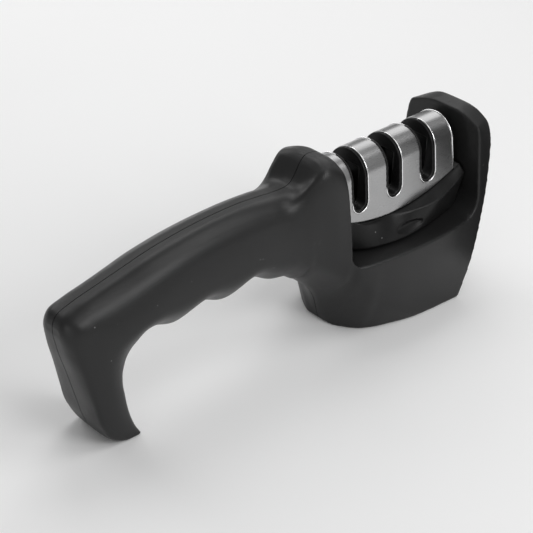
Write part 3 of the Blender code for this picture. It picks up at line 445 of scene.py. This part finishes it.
def carve(target, shapes, operation='DIFFERENCE'):
    """Boolean the target with bmesh shapes and bake the result."""
    tools = [mesh_object(f"tool_{index}", shape) for index, shape in enumerate(shapes)]
    for tool in tools:
        modifier = target.modifiers.new(tool.name, 'BOOLEAN')
        modifier.operation = operation
        modifier.solver = 'MANIFOLD'
        modifier.object = tool
    bake(target)
    for tool in tools:
        bpy.data.objects.remove(tool, do_unlink=True)
    return target


def bake(target):
    """Replace the object's mesh by its evaluated mesh, without modifiers."""
    depsgraph = bpy.context.evaluated_depsgraph_get()
    baked = bpy.data.meshes.new_from_object(target.evaluated_get(depsgraph))
    target.modifiers.clear()
    target.data = baked
    return target


def remesh(target, voxel):
    """Rebuild a mesh from voxels of one size, in millimetres."""
    modifier = target.modifiers.new("voxels", 'REMESH')
    modifier.mode = 'VOXEL'
    modifier.voxel_size = voxel * MM
    return bake(target)


def relax(target, rounds):
    """Even out the mesh: each point moves toward the mean of its neighbours, then part way back."""
    mesh = target.data
    count = len(mesh.vertices)
    places = np.empty(count * 3)
    mesh.vertices.foreach_get("co", places)
    places = places.reshape(-1, 3)
    pairs = np.empty(len(mesh.edges) * 2, dtype=np.int64)
    mesh.edges.foreach_get("vertices", pairs)
    a, b = pairs.reshape(-1, 2).T
    degree = np.bincount(np.concatenate((a, b)), minlength=count)[:, None]
    for _ in range(rounds):
        for share in (RELAX_STRENGTH, -RELAX_BACK):
            total = np.stack([np.bincount(a, places[b, k], count) + np.bincount(b, places[a, k], count)
                              for k in range(3)], axis=1)
            places += (total / degree - places) * share
    mesh.vertices.foreach_set("co", places.ravel())
    mesh.update()
    return target


def keep_in(target, low, high):
    """Clip a mesh to a box in metres, to take back what the smooth curves push out."""
    for vertex in target.data.vertices:
        vertex.co = [min(max(c, a), b) for c, a, b in zip(vertex.co, low, high)]


def finish_piece(piece, body, slot, material, *nodes):
    """Shade, colour and place a new piece that stands for CAD nodes."""
    if material:
        piece.data.materials.clear()
        piece.data.materials.append(material)
    piece.data.shade_smooth()
    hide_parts(*nodes)
    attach(piece, body)
    return piece


# ---------------------------------------------------------------------------
# Body shells

def bay_profile(offset=0.0):
    """X-Z outline of the bay, grown outward by offset."""
    rear, front, floor = BAY_REAR_X - offset, BAY_FRONT_X + offset, BAY_FLOOR_Z - offset
    r_rear, r_front = BAY_REAR_RADIUS + offset, BAY_FRONT_RADIUS + offset
    outline = [(rear, BAY_TOP_Z)]
    outline += arc((rear + r_rear, floor + r_rear), r_rear, 180, 270, 16)
    outline += arc((front - r_front, floor + r_front), r_front, 270, 360, 24)
    return outline + [(front, BAY_TOP_Z)]


def curve_through(points, steps):
    """Smooth curve through a list of 2-D points."""
    rows = np.array([[x, z, x, z] for x, z in points])
    spans = np.linalg.norm(np.diff(rows[:, :2], axis=0), axis=1)
    return [tuple(row[:2]) for row in smooth_rows(rows, spans.sum() / steps)]


def front_cutter(inset=0.0):
    """Everything ahead of the bowed front face."""
    low_z, high_z = FRONT_PAST_Z
    face = [(FRONT_PROFILE[0][0] - 3.0, low_z)] + curve_through(FRONT_PROFILE, 50) + [FRONT_TOP]
    rings = []
    for y in np.linspace(-FRONT_HALF_Y, FRONT_HALF_Y, FRONT_SLICES):
        bow = -FRONT_BOW * (y / FRONT_BOW_AT_Y) ** 2 - inset
        ring = [Vector((x + bow, y, z)) for x, z in face]
        rings.append(ring + [Vector((FRONT_PAST_X, y, high_z)), Vector((FRONT_PAST_X, y, low_z))])
    return loft(rings)


def body_cavity():
    """Hollow of the body less the bay's walls, the well's collar, the posts and the bosses."""
    rows = smooth_rows(ROWS[FIRST_HOLLOW_ROW:], CAVITY_ROW_STEP)
    cavity = mesh_object("cavity", loft([body_ring(row, CAVITY_CORNER_STEPS, WALL) for row in rows]))
    margin = PLUG_GAP + COLLAR_WALL
    keep = [
        front_cutter(WALL),
        prism(bay_profile(WALL), Y_AXIS, -ACROSS, ACROSS),
        block((PLUG_REAR_X - margin, PLUG_FRONT_X + margin),
              (-PLUG_HALF_Y - margin, PLUG_HALF_Y + margin), (COLLAR_LOW_Z, BAY_FLOOR_Z)),
    ]
    for x, y in POST_XY:
        for side in (-1, 1):
            keep.append(rod((x, side * y, PLATE_HIGH_Z + GAP), (x, side * y, BAY_FLOOR_Z), POST_RADIUS))
    for x, z in PEG_XZ:
        keep.append(rod((x, -PEG_BOSS_HALF_Y, z), (x, PEG_BOSS_HALF_Y, z), PEG_BOSS_RADIUS))
    return carve(cavity, keep)


def make_body(material):
    """Two moulded shells with rounded edges that meet in a seam."""
    rows = smooth_rows(ROWS, ROW_STEP)
    body = mesh_object("body", loft([body_ring(row, CORNER_STEPS) for row in rows]))
    cavity = body_cavity()
    well = block((PLUG_REAR_X - PLUG_GAP, PLUG_FRONT_X + PLUG_GAP),
                 (-PLUG_HALF_Y - PLUG_GAP, PLUG_HALF_Y + PLUG_GAP), WELL_Z)
    carve(body, [front_cutter(), prism(bay_profile(), Y_AXIS, -ACROSS, ACROSS)])
    hollow = body.modifiers.new("hollow", 'BOOLEAN')
    hollow.operation, hollow.solver, hollow.object = 'DIFFERENCE', 'MANIFOLD', cavity
    bake(body)
    bpy.data.objects.remove(cavity, do_unlink=True)
    low_z, high_z = PILOT_Z
    pilots = [rod((x, side * y, low_z), (x, side * y, high_z), PILOT_RADIUS)
              for x, y in POST_XY for side in (-1, 1)]
    carve(body, [well] + pilots)
    remesh(body, BODY_VOXEL)
    relax(body, BODY_RELAX)
    keep_in(body, (*CAD_BOX[0][:2], SHELL_FOOT_Z * MM), CAD_BOX[1])
    for name, side in (("body_shell_left", 1), ("body_shell_right", -1)):
        shell = bpy.data.objects.new(f"{name}_fine", body.data.copy())
        bpy.context.scene.collection.objects.link(shell)
        spans = (((PAST_REAR_X, NOSE_SEAM_X), SEAM_HALF), ((NOSE_SEAM_X - 0.5, PAST_FRONT_X), NOSE_SEAM_HALF))
        halves = [block(span, sorted((side * gap, -side * PAST_Y)), (PAST_LOW_Z, PAST_TOP_Z))
                  for span, gap in spans]
        carve(shell, halves)
        pegs = []
        for x, z in PEG_XZ:
            if side > 0:
                pegs.append(rod((x, SOCKET_ROOT_Y, z), (x, PEG_REACH + 1.0, z), PEG_RADIUS + GAP))
            else:
                pegs.append(rod((x, PEG_ROOT_Y, z), (x, PEG_REACH, z), PEG_RADIUS))
        carve(shell, pegs, 'DIFFERENCE' if side > 0 else 'UNION')
        finish_piece(shell, "body", "black_plastic", material, name)
        shell.data.set_sharp_from_angle(angle=math.radians(50.0))
    bpy.data.objects.remove(body, do_unlink=True)


# ---------------------------------------------------------------------------
# Cartridge

def cover_edge_z(x):
    """Height of the cover's lower edge, lowest at mid length."""
    return COVER_EDGE_Z + COVER_EDGE_RISE * (x / COVER_EDGE_AT_X) ** 2


def arch_outline(x, inset):
    """Half outline of the cover's arch from its lower edge to the top."""
    edge = (ARCH_FOOT_HALF - inset, cover_edge_z(x))
    return [edge] + arc((0.0, RIDGE_Z - ARCH_RADIUS), ARCH_RADIUS - inset, 4, 90, 32)


def cover_shape():
    """Bent sheet over the housing."""
    rings = []
    for x in np.linspace(COVER_REAR_X, COVER_FRONT_X, 67):
        outer, inner = arch_outline(x, 0.0), arch_outline(x, SHEET)
        over = outer + [(-y, z) for y, z in reversed(outer[:-1])]
        under = [(-y, z) for y, z in inner] + inner[-2::-1]
        rings.append([Vector((x, y, z)) for y, z in over + under])
    return loft(rings)


def slot_cutter(x, half):
    """Slot right across the cartridge, with a round bottom and open above the cover."""
    bottom = arc((x, SLOT_ROUND_Z), half, 180, 360, 32)
    profile = [(x - half, SLOT_OPEN_Z)] + bottom + [(x + half, SLOT_OPEN_Z)]
    return prism(profile, Y_AXIS, -SLOT_ACROSS, SLOT_ACROSS)


def skirt_ridge_z(x):
    """Height of the skirt's ridge, which leaves the cover's edge and rises toward the nose."""
    reach = (x - RIDGE_FROM_X) / (SKIRT_FRONT_X - RIDGE_FROM_X)
    if reach < 0.0:
        return cover_edge_z(x) - 0.8
    return RIDGE_LOW_Z + RIDGE_RISE * reach ** 2


def skirt_low_z(x):
    """Height of the skirt's lower edge, which follows the bay's fillets at both ends."""
    low = SKIRT_LOW_Z
    for centre_x, radius, side in ((BAY_REAR_X + BAY_REAR_RADIUS, BAY_REAR_RADIUS, -1),
                                   (BAY_FRONT_X - BAY_FRONT_RADIUS, BAY_FRONT_RADIUS, 1)):
        past = side * (x - centre_x)
        if past > 0.0:
            inner = radius - SKIRT_CLEARANCE
            low = max(low, BAY_FLOOR_Z + radius - math.sqrt(max(0.0, inner ** 2 - past ** 2)))
    return low


def skirt_shape():
    """Boat-shaped lower part of the housing."""
    rings = []
    ridge_plan = curve_through(SKIRT_RIDGE, 90)
    for x, half in curve_through(SKIRT_PLAN, 90):
        low_z, top_z = skirt_low_z(x), cover_edge_z(x) - 0.35
        ridge_half = float(np.interp(x, *zip(*ridge_plan)))
        corners = [(0.0, low_z), (half, low_z), (ridge_half, skirt_ridge_z(x)),
                   (min(ARCH_FOOT_HALF, half), top_z), (0.0, top_z)]
        outline = soft_corner_points(corners, [0.06, 0.06, 0.06], 6)
        right = [Vector((x, p.x, p.y)) for p in outline]
        left = [Vector((x, -p.x, p.y)) for p in reversed(outline[1:-1])]
        rings.append(right + left)
    return loft(rings)


def arch_solid(inset, x_low, x_high, low_z=38.0):
    """Solid under the arch, pulled in by inset."""
    rings = []
    for x in np.linspace(x_low, x_high, 33):
        outline = arch_outline(x, inset)
        outline = [(outline[0][0], low_z)] + outline
        rings.append([Vector((x, y, z)) for y, z in outline + [(-y, z) for y, z in reversed(outline[:-1])]])
    return loft(rings)


def half_width_of_arch(x, z):
    """Half width of the cover's outer surface at one X and height."""
    heights, widths = zip(*sorted((z, y) for y, z in arch_outline(x, 0.0)))
    return float(np.interp(z, heights, widths))


def slot_rim_path(x):
    """Closed path round one opening of the cover, on its outer surface."""
    bottom = [(px, -half_width_of_arch(px, pz), pz)
              for px, pz in arc((x, SLOT_ROUND_Z), SLOT_COVER_HALF, 180, 360, 24)]
    right_x = x + SLOT_COVER_HALF
    over = [(right_x, -y, z) for y, z in arch_outline(right_x, 0.0) if z > SLOT_ROUND_Z]
    near = bottom + over
    far = [(2.0 * x - px, -y, z) for px, y, z in near]
    return near + far


def end_rim_path():
    """Path over the cover's front edge, from side to side."""
    x = COVER_FRONT_X - RIM_RADIUS
    outline = arch_outline(x, 0.0)
    return [(x, -y, z) for y, z in outline] + [(x, y, z) for y, z in reversed(outline[:-1])]


def tube(path, radius, closed, sides=10):
    """Round bead along a path."""
    points = [Vector(point) for point in path]
    count = len(points)
    shape = bmesh.new()
    rings = []
    for index, point in enumerate(points):
        before = points[index - 1] if closed or index else point
        after = points[(index + 1) % count] if closed or index < count - 1 else point
        along = (after - before).normalized()
        out = (Vector((0.0, point.y, point.z - RIM_CENTRE_Z))).normalized()
        across = along.cross(out).normalized()
        out = across.cross(along)
        angles = np.linspace(0.0, 2.0 * math.pi, sides, endpoint=False)
        rings.append([shape.verts.new(point + (across * math.cos(a) + out * math.sin(a)) * radius)
                      for a in angles])
    pairs = list(zip(rings, rings[1:])) + ([(rings[-1], rings[0])] if closed else [])
    for a, b in pairs:
        for i in range(sides):
            j = (i + 1) % sides
            shape.faces.new((a[i], a[j], b[j], b[i]))
    if not closed:
        shape.faces.new(list(reversed(rings[0])))
        shape.faces.new(rings[-1])
    return shape


def join(target, others):
    """Join objects into the target."""
    with bpy.context.temp_override(active_object=target, selected_editable_objects=[target] + others):
        bpy.ops.object.join()
    return target


def make_cover(steel, rim_highlight_steel):
    """Brushed cover with a rolled rim round each opening and along its front edge; the rim's shape is real,
    and its near-white steel is a painted highlight.
    """
    cover = mesh_object("cartridge_cover_fine", cover_shape())
    carve(cover, [slot_cutter(x, SLOT_COVER_HALF) for x in SLOT_XS])
    remesh(cover, COVER_VOXEL)
    relax(cover, CARTRIDGE_RELAX)
    cover.data.materials.clear()
    cover.data.materials.append(steel)
    rims = [mesh_object(f"rim_{number}", tube(slot_rim_path(x), RIM_RADIUS, True))
            for number, x in enumerate(SLOT_XS, 1)]
    rims.append(mesh_object("rim_end", tube(end_rim_path(), RIM_RADIUS, False)))
    for rim in rims:
        # The rims get a near-white steel: a painted highlight along the rolled edges.
        rim.data.materials.append(rim_highlight_steel)
    join(cover, rims)
    finish_piece(cover, "cartridge", "stainless_sheet", None, "cartridge_cover")


def lips(x):
    """Rim of the housing that stands in one slot of the cover."""
    rim = mesh_object("rim", arch_solid(LIP_INSET, x - SLOT_LIP_HALF - 1.0, x + SLOT_LIP_HALF + 1.0))
    carve(rim, [slot_cutter(x, SLOT_LIP_HALF)], 'INTERSECT')
    shape = bmesh.new()
    shape.from_mesh(rim.data)
    bmesh.ops.scale(shape, vec=(1.0 / MM,) * 3, verts=shape.verts)
    bpy.data.objects.remove(rim, do_unlink=True)
    return shape


def finger_scoop(side):
    """Lens-shaped finger scoop in the skirt's side."""
    lens = bmesh.new()
    bmesh.ops.create_uvsphere(lens, u_segments=48, v_segments=24, radius=1.0)
    bmesh.ops.scale(lens, vec=SCOOP_SIZE, verts=lens.verts)
    bmesh.ops.rotate(lens, matrix=Matrix.Rotation(side * SCOOP_TILT, 3, 'X'), verts=lens.verts)
    foot, ridge = (float(np.interp(SCOOP_X, *zip(*plan))) for plan in (SKIRT_PLAN, SKIRT_RIDGE))
    share = (SCOOP_Z - SKIRT_LOW_Z) / (skirt_ridge_z(SCOOP_X) - SKIRT_LOW_Z)
    at = (SCOOP_X, side * (foot + (ridge - foot) * share + 0.35), SCOOP_Z)
    bmesh.ops.translate(lens, vec=at, verts=lens.verts)
    return lens


def make_housing(material):
    """Skirt, plug and arch core in one moulding, with slots, chambers and scoops."""
    housing = mesh_object("cartridge_housing_fine", skirt_shape())
    core = arch_solid(SHEET + GAP, COVER_REAR_X + 0.4, COVER_FRONT_X - 0.5)
    plug = block((PLUG_REAR_X, PLUG_FRONT_X), (-PLUG_HALF_Y, PLUG_HALF_Y), (HOUSING_LOW_Z, SKIRT_LOW_Z + 6.0))
    carve(housing, [core, plug] + [lips(x) for x in SLOT_XS], 'UNION')
    cuts = [finger_scoop(-1), finger_scoop(1)]
    for x in SLOT_XS:
        half = CHAMBER_HALF_X[x]
        cuts.append(slot_cutter(x, SLOT_HALF))
        cuts.append(block((x - half, x + half), (-CHAMBER_HALF_Y, CHAMBER_HALF_Y), (10.0, CHAMBER_TOP_Z)))
    for side in (-1, 1):
        reach = SPRING_HALF_X + SPRING_ROOM_X
        cuts.append(block((SPRING_X - reach, SPRING_X + reach),
                          sorted((side * (PLUG_HALF_Y - SPRING_ROOM_DEPTH), side * SPRING_ROOM_OUT_Y)),
                          SPRING_ROOM_Z))
        for turn in (-1, 1):
            x, y = side * CARTRIDGE_SCREW_XY[0], turn * CARTRIDGE_SCREW_XY[1]
            low_z, high_z = CARTRIDGE_PILOT_Z
            cuts.append(rod((x, y, low_z), (x, y, high_z), CARTRIDGE_PILOT_RADIUS))
    carve(housing, cuts)
    remesh(housing, HOUSING_VOXEL)
    relax(housing, CARTRIDGE_RELAX)
    finish_piece(housing, "cartridge", "liner_plastic", material, "cartridge_housing")


# ---------------------------------------------------------------------------
# Small pieces

def body_of(node):
    """Body that carries a CAD node."""
    bodies = frame["record"]["behaviour"]["bodies"]
    return next(body for body, nodes in bodies.items() if node in nodes)


def slot_of(node):
    """Material slot of a CAD node."""
    return next(part["material_slot"] for part in frame["record"]["subparts"] if part["node"] == node)


def lathe(profile, segments=40):
    """Turned solid about Z from (radius, height) points."""
    shape = bmesh.new()
    verts = [shape.verts.new((r, 0.0, z)) for r, z in profile]
    edges = [shape.edges.new(pair) for pair in zip(verts, verts[1:])]
    bmesh.ops.spin(shape, geom=verts + edges, cent=(0, 0, 0), axis=(0, 0, 1),
                   angle=2.0 * math.pi, steps=segments, use_merge=True)
    bmesh.ops.remove_doubles(shape, verts=shape.verts, dist=0.001)
    return shape


def screw_shape(head_radius, head_height, shank_radius, length, countersunk):
    """Screw pointing up from its head at height 0, with ridged thread and a pointed end."""
    if countersunk:
        edge, under_z = HEAD_EDGE, COUNTERSINK_EDGE_Z
    else:
        edge, under_z = PAN_EDGE, head_height
    head = [(0.0, 0.0), (head_radius - edge, 0.0), (head_radius, edge), (head_radius, under_z)]
    thread = []
    for z in np.arange(head_height, length - SCREW_TIP - THREAD_PITCH, THREAD_PITCH):
        thread += [(shank_radius, z), (shank_radius - THREAD_DEPTH, z + THREAD_PITCH / 2.0)]
    tip = [(shank_radius, length - SCREW_TIP), (shank_radius * 0.5, length), (0.0, length)]
    return lathe(head + thread + tip)


def make_screw(node, size, material):
    """Screw with a cross recess, where the CAD screw is."""
    head_radius, head_height = size[:2]
    low, high = (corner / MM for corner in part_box(node))
    screw = mesh_object(f"{node}_fine", screw_shape(*size))
    half, reach = RECESS_WIDTH / 2.0, head_radius * RECESS_REACH_SHARE
    depth = head_height * RECESS_DEPTH_SHARE
    carve(screw, [block((-half, half), (-reach, reach), (-1.0, depth)),
                  block((-reach, reach), (-half, half), (-1.0, depth))])
    middle = (low + high) / 2.0
    if size[-1]:
        place = Matrix.Translation((middle[0] * MM, middle[1] * MM, low[2] * MM))
    else:
        side = 1.0 if middle[1] > 0.0 else -1.0
        outer = high[1] if side > 0.0 else low[1]
        turn = Matrix.Rotation(side * math.pi / 2.0, 4, 'X')
        place = Matrix.Translation((middle[0] * MM, outer * MM, middle[2] * MM)) @ turn
    screw.data.transform(place)
    finish_piece(screw, body_of(node), slot_of(node), material, node)
    screw.data.set_sharp_from_angle(angle=math.radians(35.0))


def make_rod(node, stage_x, side, radius, material, grit=0.0):
    """Round rod with rounded ends, and for the diamond rods a gritty surface."""
    ends = [Vector((stage_x + side * (z - ROD_CROSS_Z) * math.tan(ROD_LEAN), side * ROD_Y, z))
            for z in (ROD_LOW_Z, ROD_HIGH_Z)]
    length = (ends[1] - ends[0]).length
    corner = arc((radius - ROD_END_ROUND, ROD_END_ROUND), ROD_END_ROUND, -90, 0, 6)
    rows = [(radius, z) for z in np.arange(1.0, length - 1.0, GRIT_SIZE)]
    profile = [(0.0, 0.0)] + corner + rows + [(r, length - z) for r, z in reversed(corner)] + [(0.0, length)]
    piece = mesh_object(f"{node}_fine", lathe(profile, 48))
    if grit:
        for vertex in piece.data.vertices:
            rough = noise.noise(vertex.co / (GRIT_SIZE * MM))
            across = Vector((vertex.co.x, vertex.co.y, 0.0))
            vertex.co -= across.normalized() * (0.5 + 0.5 * rough) * grit * MM
    turn = Vector((0.0, 0.0, 1.0)).rotation_difference(ends[1] - ends[0]).to_matrix().to_4x4()
    piece.data.transform(Matrix.Translation(ends[0] * MM) @ turn)
    finish_piece(piece, body_of(node), slot_of(node), material, node)
    piece.data.set_sharp_from_angle(angle=math.radians(50.0))


def make_foot_pad(material):
    """Foot pad with a grooved tread under it."""
    shape = bmesh.new()
    shape.from_mesh(frame["nodes"]["foot_pad"].data)
    bmesh.ops.remove_doubles(shape, verts=shape.verts, dist=0.01 * MM)
    pad = mesh_object("foot_pad_fine", shape, 1.0)
    low_x, high_x = node_range("foot_pad", X_AXIS)
    half_y = node_range("foot_pad", Y_AXIS)[1]
    count = int((high_x - low_x) / TREAD_PITCH) - 1
    first = (low_x + high_x - (count - 1) * TREAD_PITCH) / 2.0
    grooves = []
    for number in range(count):
        x = first + number * TREAD_PITCH
        grooves.append(block((x - TREAD_WIDTH / 2.0, x + TREAD_WIDTH / 2.0), (-half_y - 2.0, half_y + 2.0),
                             (-1.0, TREAD_DEPTH)))
    carve(pad, grooves)
    finish_piece(pad, "body", "foot_rubber", material, "foot_pad")
    pad.data.set_sharp_from_angle(angle=math.radians(35.0))


def make_small_pieces(looks):
    """Screws, rods and the foot pad."""
    for number in range(1, 5):
        make_screw(f"base_screw_{number}", BASE_SCREW, looks["screw_steel"])
        make_screw(f"cartridge_screw_{number}", CARTRIDGE_SCREW, looks["screw_steel"])
    for number, side in enumerate((-1, 1), 1):
        make_screw(f"carbide_screw_{number}", BLADE_SCREW, looks["screw_steel"])
        make_rod(f"diamond_rod_{number}", SLOT_XS[0], side, DIAMOND_RADIUS, looks["diamond_coat"], GRIT_DEPTH)
        make_rod(f"ceramic_rod_{number}", SLOT_XS[2], side, CERAMIC_RADIUS, looks["white_ceramic"])
    make_foot_pad(looks["foot_rubber"])


# ---------------------------------------------------------------------------
# Materials

class Nodes:
    """Small helper to write a material's node tree."""

    def __init__(self, name):
        self.material = bpy.data.materials.new(name)
        self.material.use_nodes = True
        self.tree = self.material.node_tree
        self.shader = self.tree.nodes["Principled BSDF"]

    def add(self, kind, inputs=None, **settings):
        node = self.tree.nodes.new(kind)
        for key, value in settings.items():
            setattr(node, key, value)
        for key, value in (inputs or {}).items():
            self.feed(node.inputs[key], value)
        return node

    def feed(self, socket, value):
        if isinstance(value, bpy.types.NodeSocket):
            self.tree.links.new(value, socket)
        else:
            socket.default_value = value

    def noise(self, scale, detail=2.0, roughness=0.5, stretch=None):
        """Noise in object space; scale is in cells per metre."""
        place = self.add("ShaderNodeTexCoord").outputs["Object"]
        if stretch:
            place = self.add("ShaderNodeMapping", {"Vector": place, "Scale": stretch}).outputs["Vector"]
        return self.add("ShaderNodeTexNoise", {"Vector": place, "Scale": scale, "Detail": detail,
                                               "Roughness": roughness}).outputs["Fac"]

    def spread(self, value, low, high, from_low=0.0, from_high=1.0):
        return self.add("ShaderNodeMapRange", {"Value": value, "From Min": from_low, "From Max": from_high,
                                               "To Min": low, "To Max": high}).outputs["Result"]

    def mix(self, factor, a, b):
        node = self.add("ShaderNodeMix", data_type='RGBA')
        self.feed(node.inputs[0], factor)
        self.feed(node.inputs[6], a)
        self.feed(node.inputs[7], b)
        return node.outputs[2]

    def math(self, operation, a, b=0.5):
        return self.add("ShaderNodeMath", {0: a, 1: b}, operation=operation).outputs[0]

    def bump(self, height, distance, strength=1.0, normal=None):
        inputs = {"Height": height, "Distance": distance, "Strength": strength}
        if normal:
            inputs["Normal"] = normal
        return self.add("ShaderNodeBump", inputs).outputs["Normal"]

    def finish(self, **inputs):
        for key, value in inputs.items():
            self.feed(self.shader.inputs[key.replace("_", " ")], value)
        return self.material


def rgb(value, tint=(1.0, 1.0, 1.0)):
    return (value * tint[0], value * tint[1], value * tint[2], 1.0)


def moulded_plastic(name, shade, roughness, grain_scale, grain_depth, dust=0.0, specular=0.22):
    """Black moulded plastic: fine spark grain, uneven gloss, a painted highlight along the edges and a little
    dust.
    """
    n = Nodes(name)
    broad = n.noise(45.0, 3.0)
    handled = n.noise(380.0, 3.0)
    grain = n.noise(grain_scale, 2.0, 0.6)
    # Painted highlight: the colour is made paler where the surface is pointy, along rounded edges.
    edge = n.add("ShaderNodeNewGeometry").outputs["Pointiness"]
    edge = n.spread(edge, 0.0, 1.0, 0.53, 0.62)
    colour = n.mix(broad, rgb(shade * 0.9), rgb(shade * 1.12, (1.0, 1.0, 1.02)))
    colour = n.mix(n.math('MULTIPLY', edge, 0.35), colour, rgb(shade * 2.1))
    if dust:
        place = n.add("ShaderNodeTexCoord").outputs["Object"]
        cell = n.add("ShaderNodeTexVoronoi", {"Vector": place, "Scale": 300.0}).outputs["Distance"]
        speck = n.spread(cell, 1.0, 0.0, 0.04, 0.08)
        gate = n.spread(n.noise(130.0, 1.0), 0.0, 1.0, 0.62, 0.66)
        colour = n.mix(n.math('MULTIPLY', n.math('MULTIPLY', speck, gate), dust), colour, rgb(0.5))
    gloss = n.math('ADD', n.spread(broad, -0.04, 0.04), n.spread(handled, roughness - 0.03, roughness + 0.03))
    normal = n.bump(grain, grain_depth, 0.7)
    return n.finish(Base_Color=colour, Roughness=gloss, Normal=normal, Specular_IOR_Level=specular)


def brushed_steel(name, shade, roughness, stretch, depth=0.000004):
    """Steel brushed in one direction, with faint stains and fine scratches."""
    n = Nodes(name)
    strokes = n.noise(1.0, 5.0, 0.65, stretch)
    fine = n.noise(2.3, 3.0, 0.6, stretch)
    stain = n.noise(60.0, 3.0)
    colour = n.mix(strokes, rgb(shade * 0.93), rgb(shade * 1.06, (1.0, 1.0, 1.01)))
    colour = n.mix(n.spread(stain, 0.0, 0.3), colour, rgb(shade * 0.82))
    gloss = n.math('ADD', n.spread(fine, -0.05, 0.05), n.spread(stain, roughness - 0.02, roughness + 0.03))
    normal = n.bump(strokes, depth, 0.35)
    return n.finish(Base_Color=colour, Roughness=gloss, Metallic=1.0, Normal=normal)


def make_materials():
    """Materials by CAD material slot, and the rims' own near-white steel, which is a painted highlight."""
    return {
        "black_plastic": moulded_plastic("black_plastic_look", 0.014, 0.38, 5200.0, 0.00004, 0.4, 0.34),
        "liner_plastic": moulded_plastic("liner_plastic_look", 0.007, 0.36, 6500.0, 0.00002, 1.0, 0.24),
        "foot_rubber": moulded_plastic("foot_rubber_look", 0.02, 0.85, 1800.0, 0.00015),
        "stainless_sheet": brushed_steel("stainless_sheet_look", 0.42, 0.28, (120.0, 4200.0, 4200.0)),
        # Painted highlight: near-white steel for the rolled rims, far paler than the sheet.
        "rim_highlight": brushed_steel("rim_highlight_look", 0.95, 0.22, (400.0, 400.0, 400.0)),
        "screw_steel": brushed_steel("screw_steel_look", 0.5, 0.35, (900.0, 900.0, 2500.0)),
        "spring_steel": brushed_steel("spring_steel_look", 0.42, 0.33, (300.0, 3000.0, 3000.0)),
        "diamond_coat": moulded_plastic("diamond_coat_look", 0.12, 0.6, 9000.0, 0.00012),
        "tungsten_carbide": brushed_steel("tungsten_carbide_look", 0.35, 0.28, (3500.0, 400.0, 400.0)),
        "white_ceramic": moulded_plastic("white_ceramic_look", 0.72, 0.55, 7000.0, 0.00003),
    }


def dress_cad_nodes(looks):
    """Give every CAD node its material, and the shown ones softened edges."""
    for subpart in frame["record"]["subparts"]:
        node = frame["nodes"][subpart["node"]]
        for slot in node.material_slots:
            slot.material = looks[subpart["material_slot"]]
        if node.hide_render:
            continue
        bevel = node.modifiers.new("soft_edges", 'BEVEL')
        bevel.width, bevel.segments, bevel.limit_method = EDGE_ROUND * MM, 2, 'ANGLE'
        bevel.angle_limit = math.radians(35.0)
        bevel.harden_normals = False


# ---------------------------------------------------------------------------
# Stage

def toward(azimuth, elevation):
    """Direction at an azimuth, counter-clockwise from the camera's right, and an elevation."""
    turn, rise = math.radians(azimuth - CAMERA_TURN), math.radians(elevation)
    return Vector((math.cos(turn) * math.cos(rise), math.sin(turn) * math.cos(rise), math.sin(rise)))


def area_light(name, place, tall, power):
    """Softbox at a place, facing the object."""
    light = bpy.data.lights.new(name, 'AREA')
    light.energy = power
    light.shape = 'RECTANGLE'
    light.size, light.size_y = SOFTBOX_WIDTH, tall
    lamp = bpy.data.objects.new(name, light)
    lamp.location = place
    lamp.rotation_mode = 'QUATERNION'
    lamp.rotation_quaternion = (STAGE_CENTRE - place).to_track_quat('-Z', 'Y')
    bpy.context.scene.collection.objects.link(lamp)


def make_card():
    """Dark card beside the nose, seen only in reflections."""
    shape = bmesh.new()
    corners = [(CARD_Y[0], CARD_Z[0]), (CARD_Y[1], CARD_Z[0]), (CARD_Y[1], CARD_Z[1]), (CARD_Y[0], CARD_Z[1])]
    shape.faces.new([shape.verts.new((CARD_X, y, z)) for y, z in corners])
    card = mesh_object("dark_card", shape, 1.0)
    felt = Nodes("dark_felt")
    card.data.materials.append(felt.finish(Base_Color=rgb(0.01), Roughness=1.0))
    card.visible_camera = card.visible_diffuse = card.visible_shadow = False


def make_stage():
    """Pale floor, the dark card and soft light."""
    plane = bmesh.new()
    bmesh.ops.create_grid(plane, x_segments=2, y_segments=2, size=3.0)
    floor = mesh_object("floor", plane, 1.0)
    paper = Nodes("paper_sweep")
    tone = paper.mix(paper.noise(4.0, 2.0), rgb(0.90), rgb(0.93))
    floor.data.materials.append(paper.finish(Base_Color=tone, Roughness=0.9))
    make_card()
    world = bpy.data.worlds.new("studio")
    world.use_nodes = True
    world.node_tree.nodes["Background"].inputs["Color"].default_value = (1.0, 1.0, 1.0, 1.0)
    world.node_tree.nodes["Background"].inputs["Strength"].default_value = WORLD_LIGHT
    bpy.context.scene.world = world
    bpy.context.scene.view_settings.view_transform = 'Standard'
    for name, azimuth, elevation, tall, power in SOFTBOXES:
        area_light(name, STAGE_CENTRE + toward(azimuth, elevation) * SOFTBOX_DISTANCE, tall, power)


def make_camera():
    """Camera at the reference viewing angle."""
    turn, height = math.radians(CAMERA_TURN), math.radians(CAMERA_HEIGHT)
    level = math.cos(height)
    forward = Vector((math.sin(turn) * level, math.cos(turn) * level, -math.sin(height)))
    data = bpy.data.cameras.new("camera")
    data.lens, data.sensor_width = CAMERA_LENS, 36.0
    data.clip_start = 0.01
    camera = bpy.data.objects.new("camera", data)
    camera.location = CAMERA_TARGET - forward * CAMERA_DISTANCE
    camera.rotation_mode = 'QUATERNION'
    aim = forward.to_track_quat('-Z', 'Y').to_matrix().to_4x4()
    roll = Matrix.Rotation(math.radians(CAMERA_ROLL), 4, 'Z')
    camera.rotation_quaternion = (aim @ roll).to_quaternion()
    bpy.context.scene.collection.objects.link(camera)
    bpy.context.scene.camera = camera


looks = make_materials()
make_body(looks["black_plastic"])
make_cover(looks["stainless_sheet"], looks["rim_highlight"])
make_housing(looks["liner_plastic"])
make_small_pieces(looks)
dress_cad_nodes(looks)
make_stage()
make_camera()
